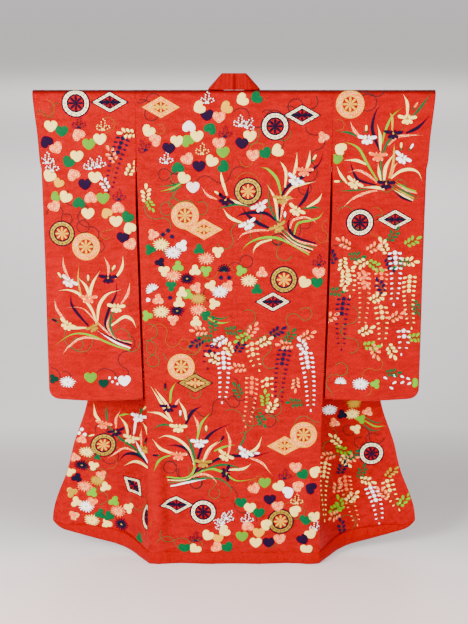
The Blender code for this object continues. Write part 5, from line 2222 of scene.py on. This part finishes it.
        (T.GREEN, 218, 243, 160, 26, -190, 24, 150, 22, -120, 18, 130),
        (T.DUSK, 262, 112, 40, 24, 220, 24, -200, 24, 190),
        (T.DUSK, 286, 107, 60, 34, 280, 24, -160, 26, 190, 22, -160),
        (T.DUSK, 316, 96, 140, 26, 200, 24, -190, 22, 160),
        (T.DUSK, 309, 183, 130, 36, 330, 24, -150, 20, 130, 22, -180, 14, 90),
        (T.DUSK, 290, 240, 70, 34, -330, 24, -120, 30, 330), (T.DUSK, 272, 240, 170, 34, -330, 30, -330, 20, 110),
        (T.DUSK, 240, 262, 350, 36, 330, 24, -170, 24, 150, 26, -190),
        (T.GREEN, 290, 130, 160, 26, 200, 26, -190, 24, 170),
        (T.GREEN, 145, 340, 70, 26, 180, 34, -330, 24, 150, 24, -180),
        (T.GREEN, 188, 350, 340, 30, 300, 24, -180, 26, 150),
        (T.GREEN, 190, 390, 200, 30, -300, 24, 160, 26, -190, 22, 130),
        (T.GREEN, 225, 410, 60, 24, 110, 22, -140, 24, 120),
        (T.DUSK, 228, 399, 20, 34, 320, 24, -170, 22, 160, 20, -170),
        (T.DUSK, 265, 425, 120, 34, -260, 22, 190, 20, -190, 22, 190, 14, -120),
        (T.GREEN, 240, 432, 100, 24, -120, 24, 170, 26, -190, 20, 120),
        (T.GREEN, 314, 420, 160, 26, 150, 30, 190, 24, -160, 24, 160),
        (T.DUSK, 164, 470, 330, 36, 320, 30, 260, 24, -120), (T.DUSK, 190, 483, 170, 36, -330, 34, -330, 24, 160),
        (T.GREEN, 217, 488, 120, 30, 300, 26, -190, 26, 170),
        (T.GREEN, 156, 542, 20, 26, 150, 24, -160, 34, 340, 22, -120, 26, 160),
        (T.GREEN, 268, 548, 80, 26, -100, 22, 130, 22, -120), (T.DUSK, 228, 485, 100, 22, 110, 20, -140, 18, 120),
        (T.GREEN, 292, 255, 200, 26, 190, 24, -170, 26, 190),
        (T.GREEN, 300, 310, 30, 34, 300, 24, -190, 24, 170, 26, -150),
        (T.GREEN, 244, 310, 60, 26, 190, 26, -190, 30, 180, 26, -190), (T.FAINT, 158, 125, 60, 20, 260, 14, -60),
        (T.FAINT, 240, 160, 180, 24, -220, 22, 160, 12, 200), (T.FAINT, 236, 180, 20, 30, 150, 24, 170),
        (T.FAINT, 202, 268, 200, 26, -190, 22, 150), (T.FAINT, 206, 305, 90, 30, 320, 24, -160),
        (T.FAINT, 150, 330, 10, 30, 200, 24, -190, 30, 320), (T.FAINT, 188, 345, 180, 22, -190, 20, 160, 24, -200),
        (T.FAINT, 316, 235, 190, 26, -250, 16, 150), (T.FAINT, 256, 476, 40, 20, 280, 18, -250),
        (T.FAINT, 300, 500, 100, 20, 240, 16, -160), (T.FAINT, 150, 520, 160, 22, 200, 22, -190),
        (T.FAINT, 288, 560, 300, 26, -190, 22, 150),
    ),
)

LEFT_FLARE = Design(
    spots={
        Kind.WHEEL: {T.GOLD: ((103, 446),), T.WHITE: ((149, 507),)}, Kind.DIAMOND: {T.WHITE: ((134, 486, 1, 0.9),)},
        Kind.IRIS: {
            T.PINK: ((103, 425, 12),), T.PURPLE: ((116, 432, 11),), T.CREAM: ((131, 438),),
            T.WHITE: ((139, 415, 12),), T.GOLD: ((146, 448, 12, 0.9),),
        },
        Kind.BUD: {T.NAVY: ((146, 439),), T.CREAM: ((145, 405, 1), (90, 437, 2))},
        Kind.DOT: {T.WHITE: ((81, 431), (78, 435), (84, 436))},
        Kind.MUM: {
            T.CREAM: ((86, 454), (92, 521), (140, 540)), T.NAVY: ((81, 468), (122, 524)), T.GOLD: ((97, 483),),
            T.PINK: ((84, 489), (118, 512)), T.WHITE: ((86, 508),),
        },
        Kind.CLOVER: {
            T.PINK: (
                (81, 441), (74, 460, 11), (101, 477, 1), (92, 504, 2), (74, 517, 10), (148, 548), (127, 534, 11),
            ),
            T.CREAM: ((93, 468, 2), (69, 475, 2), (105, 489, 3), (76, 504, 11), (129, 508, 1), (107, 524, 11)),
            T.NAVY: ((76, 481),), T.LIME: ((92, 495), (114, 503)), T.GOLD: ((71, 495, 10),),
            T.GREEN: ((100, 515), (109, 517, 11), (141, 531), (97, 459, 12, 0.7)),
        },
    },
    blades=(
        (T.CREAM, 2.4, ((100, 422), (95, 415), (93, 403))), (T.GREEN, 2.0, ((107, 421), (106, 412), (106, 403))),
        (T.LIME, 2.0, ((96, 424), (87, 423), (79, 424))), (T.PINK, 2.0, ((116, 428), (116, 418), (121, 408))),
        (T.LIME, 1.7, ((119, 415), (124, 413), (131, 412))),
        (T.GREEN, 2.2, ((108, 426), (120, 438), (134, 447), (144, 458), (150, 465))),
        (T.CREAM, 2.2, ((128, 435), (126, 424), (119, 415))), (T.WHITE, 2.0, ((149, 463), (140, 448), (135, 438))),
        (T.WHITE, 2.0, ((134, 433), (136, 419), (137, 410))), (T.PINK, 2.0, ((142, 445), (141, 435), (142, 426))),
        (T.CREAM, 2.1, ((149, 437), (147, 427), (143, 420))),
        (T.NAVY, 2.1, ((149, 463), (138, 454), (126, 454), (118, 463))),
        (T.PINK, 2.0, ((137, 451), (124, 448), (115, 454), (108, 459))),
        (T.CREAM, 2.4, ((150, 467), (136, 461), (124, 466))), (T.GREEN, 1.8, ((141, 413), (141, 402))),
    ),
    vines=(
        (T.DUSK, 91, 401, 190, 16, 110, 18, -190, 26, 200, 22, -150),
        (T.DUSK, 96, 434, 300, 34, 300, 20, -140, 30, 300), (T.DUSK, 102, 461, 140, 30, -190, 20, 120, 22, -180),
        (T.GREEN, 99, 506, 90, 22, -190, 20, 160, 24, -200, 24, 190, 30, -260),
        (T.GREEN, 132, 497, 180, 34, -190, 26, 160, 24, -170), (T.DUSK, 62, 512, 100, 20, 100, 18, -160),
        (T.FAINT, 108, 470, 90, 22, -170, 20, 190, 24, -300),
    ),
)

RIGHT_FLARE = Design(
    spots={
        Kind.WHEEL: {T.WHITE: ((372, 455),)},
        Kind.MUM: {T.WHITE: ((329, 407),), T.GOLD: ((354, 402),), T.CREAM: ((352, 413),)},
        Kind.CLOVER: {
            T.PINK: ((334, 421), (368, 412, 1)), T.LIME: ((361, 419, 2),), T.CREAM: ((356, 429, 6),),
            T.NAVY: ((342, 413),),
        },
        Kind.LEAF: {
            T.CREAM: ((336, 440, 11), (367, 483, 4), (345, 461, 5), (352, 499, 2)),
            T.LIME: ((342, 450, 4), (340, 505), (411, 499, 10), (335, 508, 9), (404, 503, 2)),
            T.BLUE: ((342, 469, 1), (341, 526, 12)), T.GREEN: ((362, 474, 1), (352, 456, 2)),
            T.GOLD: ((392, 476, 2),),
            T.PINK: ((328, 455, 9), (350, 459, 3), (334, 514, 9), (384, 496, 11), (337, 488, 1)),
        },
    },
    blades=(
        (T.GREEN, 1.6, ((366, 418), (376, 424), (386, 422))), (T.LIME, 1.6, ((365, 421), (376, 428), (387, 427))),
        (T.GREEN, 1.6, ((363, 424), (373, 432), (384, 431))),
    ),
    racemes=(
        (T.CREAM, 325, 462, 323, 512), (T.PINK, 345, 478, 357, 524), (T.WHITE, 371, 490, 379, 523),
        (T.CREAM, 388, 484, 399, 510),
    ),
    vines=(
        (T.GREEN, 330, 425, 120, 24, 160, 26, -190, 24, 170), (T.DUSK, 385, 440, 200, 26, 190, 24, -180, 34, 320),
        (T.DUSK, 362, 438, 300, 34, -300, 22, 160), (T.GREEN, 392, 460, 60, 24, 180, 22, -190, 22, 160),
        (T.GREEN, 350, 530, 80, 26, -180, 24, 190, 24, -170, 22, 160), (T.FAINT, 400, 480, 100, 22, 200, 22, -180),
        (T.FAINT, 340, 485, 60, 22, 200, 22, -190),
    ),
)


@dataclass
class Embroidery(Garment):
    """All of the worked designs."""

    back: BackPanel
    fronts: dict[Side, FrontPanel]
    layers: dict[tuple[Side, bool], SleevePanel]
    edge_room: float = 0.002
    flare_start: float = 1.02  # drop from which a front shows beside the back
    flare_ease: float = 1.04  # on the flares, farther forward, the chart's squares are wider and lower
    flare_fall: float = 0.046
    side_column: float = 94.0  # squares from the chart's middle to the side seam

    def build(self) -> None:
        """Work every panel, those that only other views show with the nearest design again."""
        patterns = Patterns()
        back = Embroiderer("back_embroidery", self.back, patterns, self.back_limits)
        back.stitch(BACK)
        back.finish(self)
        sleeves = {Side.LEFT: LEFT_SLEEVE, Side.RIGHT: RIGHT_SLEEVE}
        flares = {Side.LEFT: LEFT_FLARE, Side.RIGHT: RIGHT_FLARE}
        for side in Side:
            for front in (False, True):
                face = "front" if front else "back"
                worker = Embroiderer(
                    f"sleeve_{side.word}_{face}_embroidery", self.layers[side, front], patterns,
                    self.sleeve_limits, hand=side.value * (-1.0 if front else 1.0),
                    bottom=SLEEVE_DROP - 0.012,
                )  # fmt: skip
                worker.stitch(sleeves[side])
                worker.finish(self)
            self.work_front(side, flares[side], patterns)
        patterns.put_away()

    def work_front(self, side: Side, flare: Design, patterns: Patterns) -> None:
        """Work one front: its flare, and the leg that lies behind the back.

        Args:
            side: hand of the front.
            flare: what the chart shows beside the back.
            patterns: the pattern book.
        """
        panel = self.fronts[side]
        outer = Embroiderer(
            f"front_{side.word}_flare_embroidery", panel, patterns, self.front_limits, side.value,
            ease=self.flare_ease, fall=self.flare_fall,
        )  # fmt: skip
        outer.stitch(flare)
        outer.finish(self)
        inner = Embroiderer(
            f"front_{side.word}_embroidery", panel, patterns, self.front_limits, side.value,
            middle=CHART_MIDDLE - side.value * self.side_column, bottom=self.flare_start,
        )  # fmt: skip
        inner.stitch(BACK)
        inner.finish(self)

    def back_limits(self, drop: Array) -> tuple[Array, Array]:
        """Both edges of the back that embroidery keeps to."""
        half = between(BACK_ROWS, "drop", drop, "half_width") - self.edge_room
        return -half, half

    def sleeve_limits(self, drop: Array) -> tuple[Array, Array]:
        """Both edges of a sleeve that embroidery keeps to."""
        low = between(SLEEVE_ROWS, "drop", drop, "inner_x") + 2 * self.edge_room
        return low, between(SLEEVE_ROWS, "drop", drop, "outer_x") - 3 * self.edge_room

    def front_limits(self, drop: Array) -> tuple[Array, Array]:
        """Both edges of a front that embroidery keeps to; behind the back it keeps clear of the slit."""
        return np.where(drop < self.flare_start, 0.030, 0.010), free_edge(drop) - self.edge_room


@dataclass(frozen=True)
class Lamp:
    """One soft light."""

    name: str
    place: tuple[float, float, float]
    size: float
    watts: float
    tint: Colour = (1.0, 1.0, 1.0)
    aim: tuple[float, float, float] = (0.0, 0.0, -0.8)

    def build(self) -> None:
        """Add the light and turn it to what it lights."""
        data = bpy.data.lights.new(self.name, "AREA")
        data.energy, data.size, data.color = self.watts, self.size, self.tint
        lamp = add_object(self.name, data)
        lamp.location = self.place
        lamp.rotation_euler = (Vector(self.aim) - Vector(self.place)).to_track_quat("-Z", "Y").to_euler()


@dataclass
class Studio:
    """Floor, soft light and camera."""

    floor_z: float = -1.6004
    floor_half: float = 400.0
    camera_place: tuple[float, float, float] = (0.0, -4.0485, 0.2466)
    camera_tilt: float = 13.27
    lens: float = 72.36
    floor_colours: tuple[Colour, Colour] = ((0.80, 0.745, 0.735), (0.83, 0.775, 0.765))
    # painted on the floor: a darker band of shadow behind the garment, and a lighter, pinker pool of light in front
    # of it
    floor_bands: tuple[tuple[float, float, Colour], ...] = (
        (0.72, 0.75, (0.50, 0.455, 0.450)), (-1.40, 1.55, (1.0, 0.755, 0.735)),
    )  # fmt: skip
    room_low: Colour = (0.675, 0.625, 0.637)
    room_high: Colour = (0.80, 0.78, 0.79)
    lamps: tuple[Lamp, ...] = (
        Lamp("key", (-3.0, -3.4, 0.7), 1.8, 480.0, (1.0, 0.985, 0.965)),
        Lamp("fill", (2.8, -3.8, 0.3), 2.6, 225.0, (0.98, 0.99, 1.0)),
        Lamp("far", (0.0, 9.0, 4.0), 6.0, 380.0, aim=(0.0, 9.5, -1.6)),
        Lamp("end", (0.0, 26.0, 9.0), 12.0, 1500.0, aim=(0.0, 27.0, -1.6)),
    )

    def build_floor(self) -> None:
        """Lay the pale floor, with a painted soft shadow behind the garment and a painted pool of pinker light in
        front of it.
        """
        bpy.ops.object.select_all(action="DESELECT")
        bpy.ops.mesh.primitive_plane_add(size=2 * self.floor_half, location=(0, 0, self.floor_z))
        floor = bpy.context.object
        floor.name = "floor"
        edit_all(floor, lambda: bpy.ops.mesh.subdivide(number_cuts=4))
        material, group, shader = new_material("studio floor")
        place = group.texture_place("Object")
        colour = group.mix(group.noise(place, 1.5), *self.floor_colours)
        depth = group.parts(place)[1]
        # the bands paint the floor's shadow behind the garment and its pool of light in front
        for middle, reach, tint in self.floor_bands:
            band = group.math("DIVIDE", group.math("ABSOLUTE", group.math("SUBTRACT", depth, middle)), reach)
            share = group.math("SUBTRACT", 1.0, group.math("MULTIPLY", band, band), clamp=True)
            colour = group.mix(share, colour, tint)
        group.fill(shader, {"Base Color": colour, "Roughness": 0.55})
        floor.data.materials.append(material)

    def build_light(self) -> None:
        """Hang the lamps in an even pale room."""
        world = bpy.data.worlds.new("pale room")
        bpy.context.scene.world = world
        world.use_nodes = True
        back = world.node_tree.nodes["Background"]
        group = Group(world.node_tree)
        high = group.math("MULTIPLY", group.parts(group.texture_place("Generated"))[2], 2.5, clamp=True)
        group.link(group.mix(high, self.room_low, self.room_high), back.inputs[0])
        for lamp in self.lamps:
            lamp.build()

    def build_camera(self) -> None:
        """Stand the camera in front of the garment's back, a little above it."""
        data = bpy.data.cameras.new("camera")
        data.lens, data.sensor_width = self.lens, 36.0
        camera = add_object("camera", data)
        camera.location = self.camera_place
        camera.rotation_euler = (math.radians(90.0 - self.camera_tilt), 0.0, 0.0)
        bpy.context.scene.camera = camera

    def build(self) -> None:
        """Build floor, light and camera."""
        self.build_camera()
        self.build_floor()
        self.build_light()


def main() -> None:
    """Build and dress every part of the garment, in order."""
    logging.basicConfig(level=logging.INFO, format="%(message)s")
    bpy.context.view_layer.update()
    Studio().build()
    wardrobe = Wardrobe()
    back = BackPanel(Side.RIGHT, BACK_CREASES)
    fronts = {side: FrontPanel(side, creases) for side, creases in FRONT_CREASES.items()}
    layers = {key: SleevePanel(key[0], creases, front=key[1]) for key, creases in SLEEVE_CREASES.items()}
    Body(wardrobe, back, fronts).build()
    Sleeves(wardrobe, layers).build()
    Collar(wardrobe, fronts).build()
    HemRoll(wardrobe, back, fronts).build()
    Embroidery(wardrobe, back, fronts, layers).build()
    wardrobe.dress_node(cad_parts["rod"], wardrobe.lacquer)


if __name__ == "__main__":
    main()
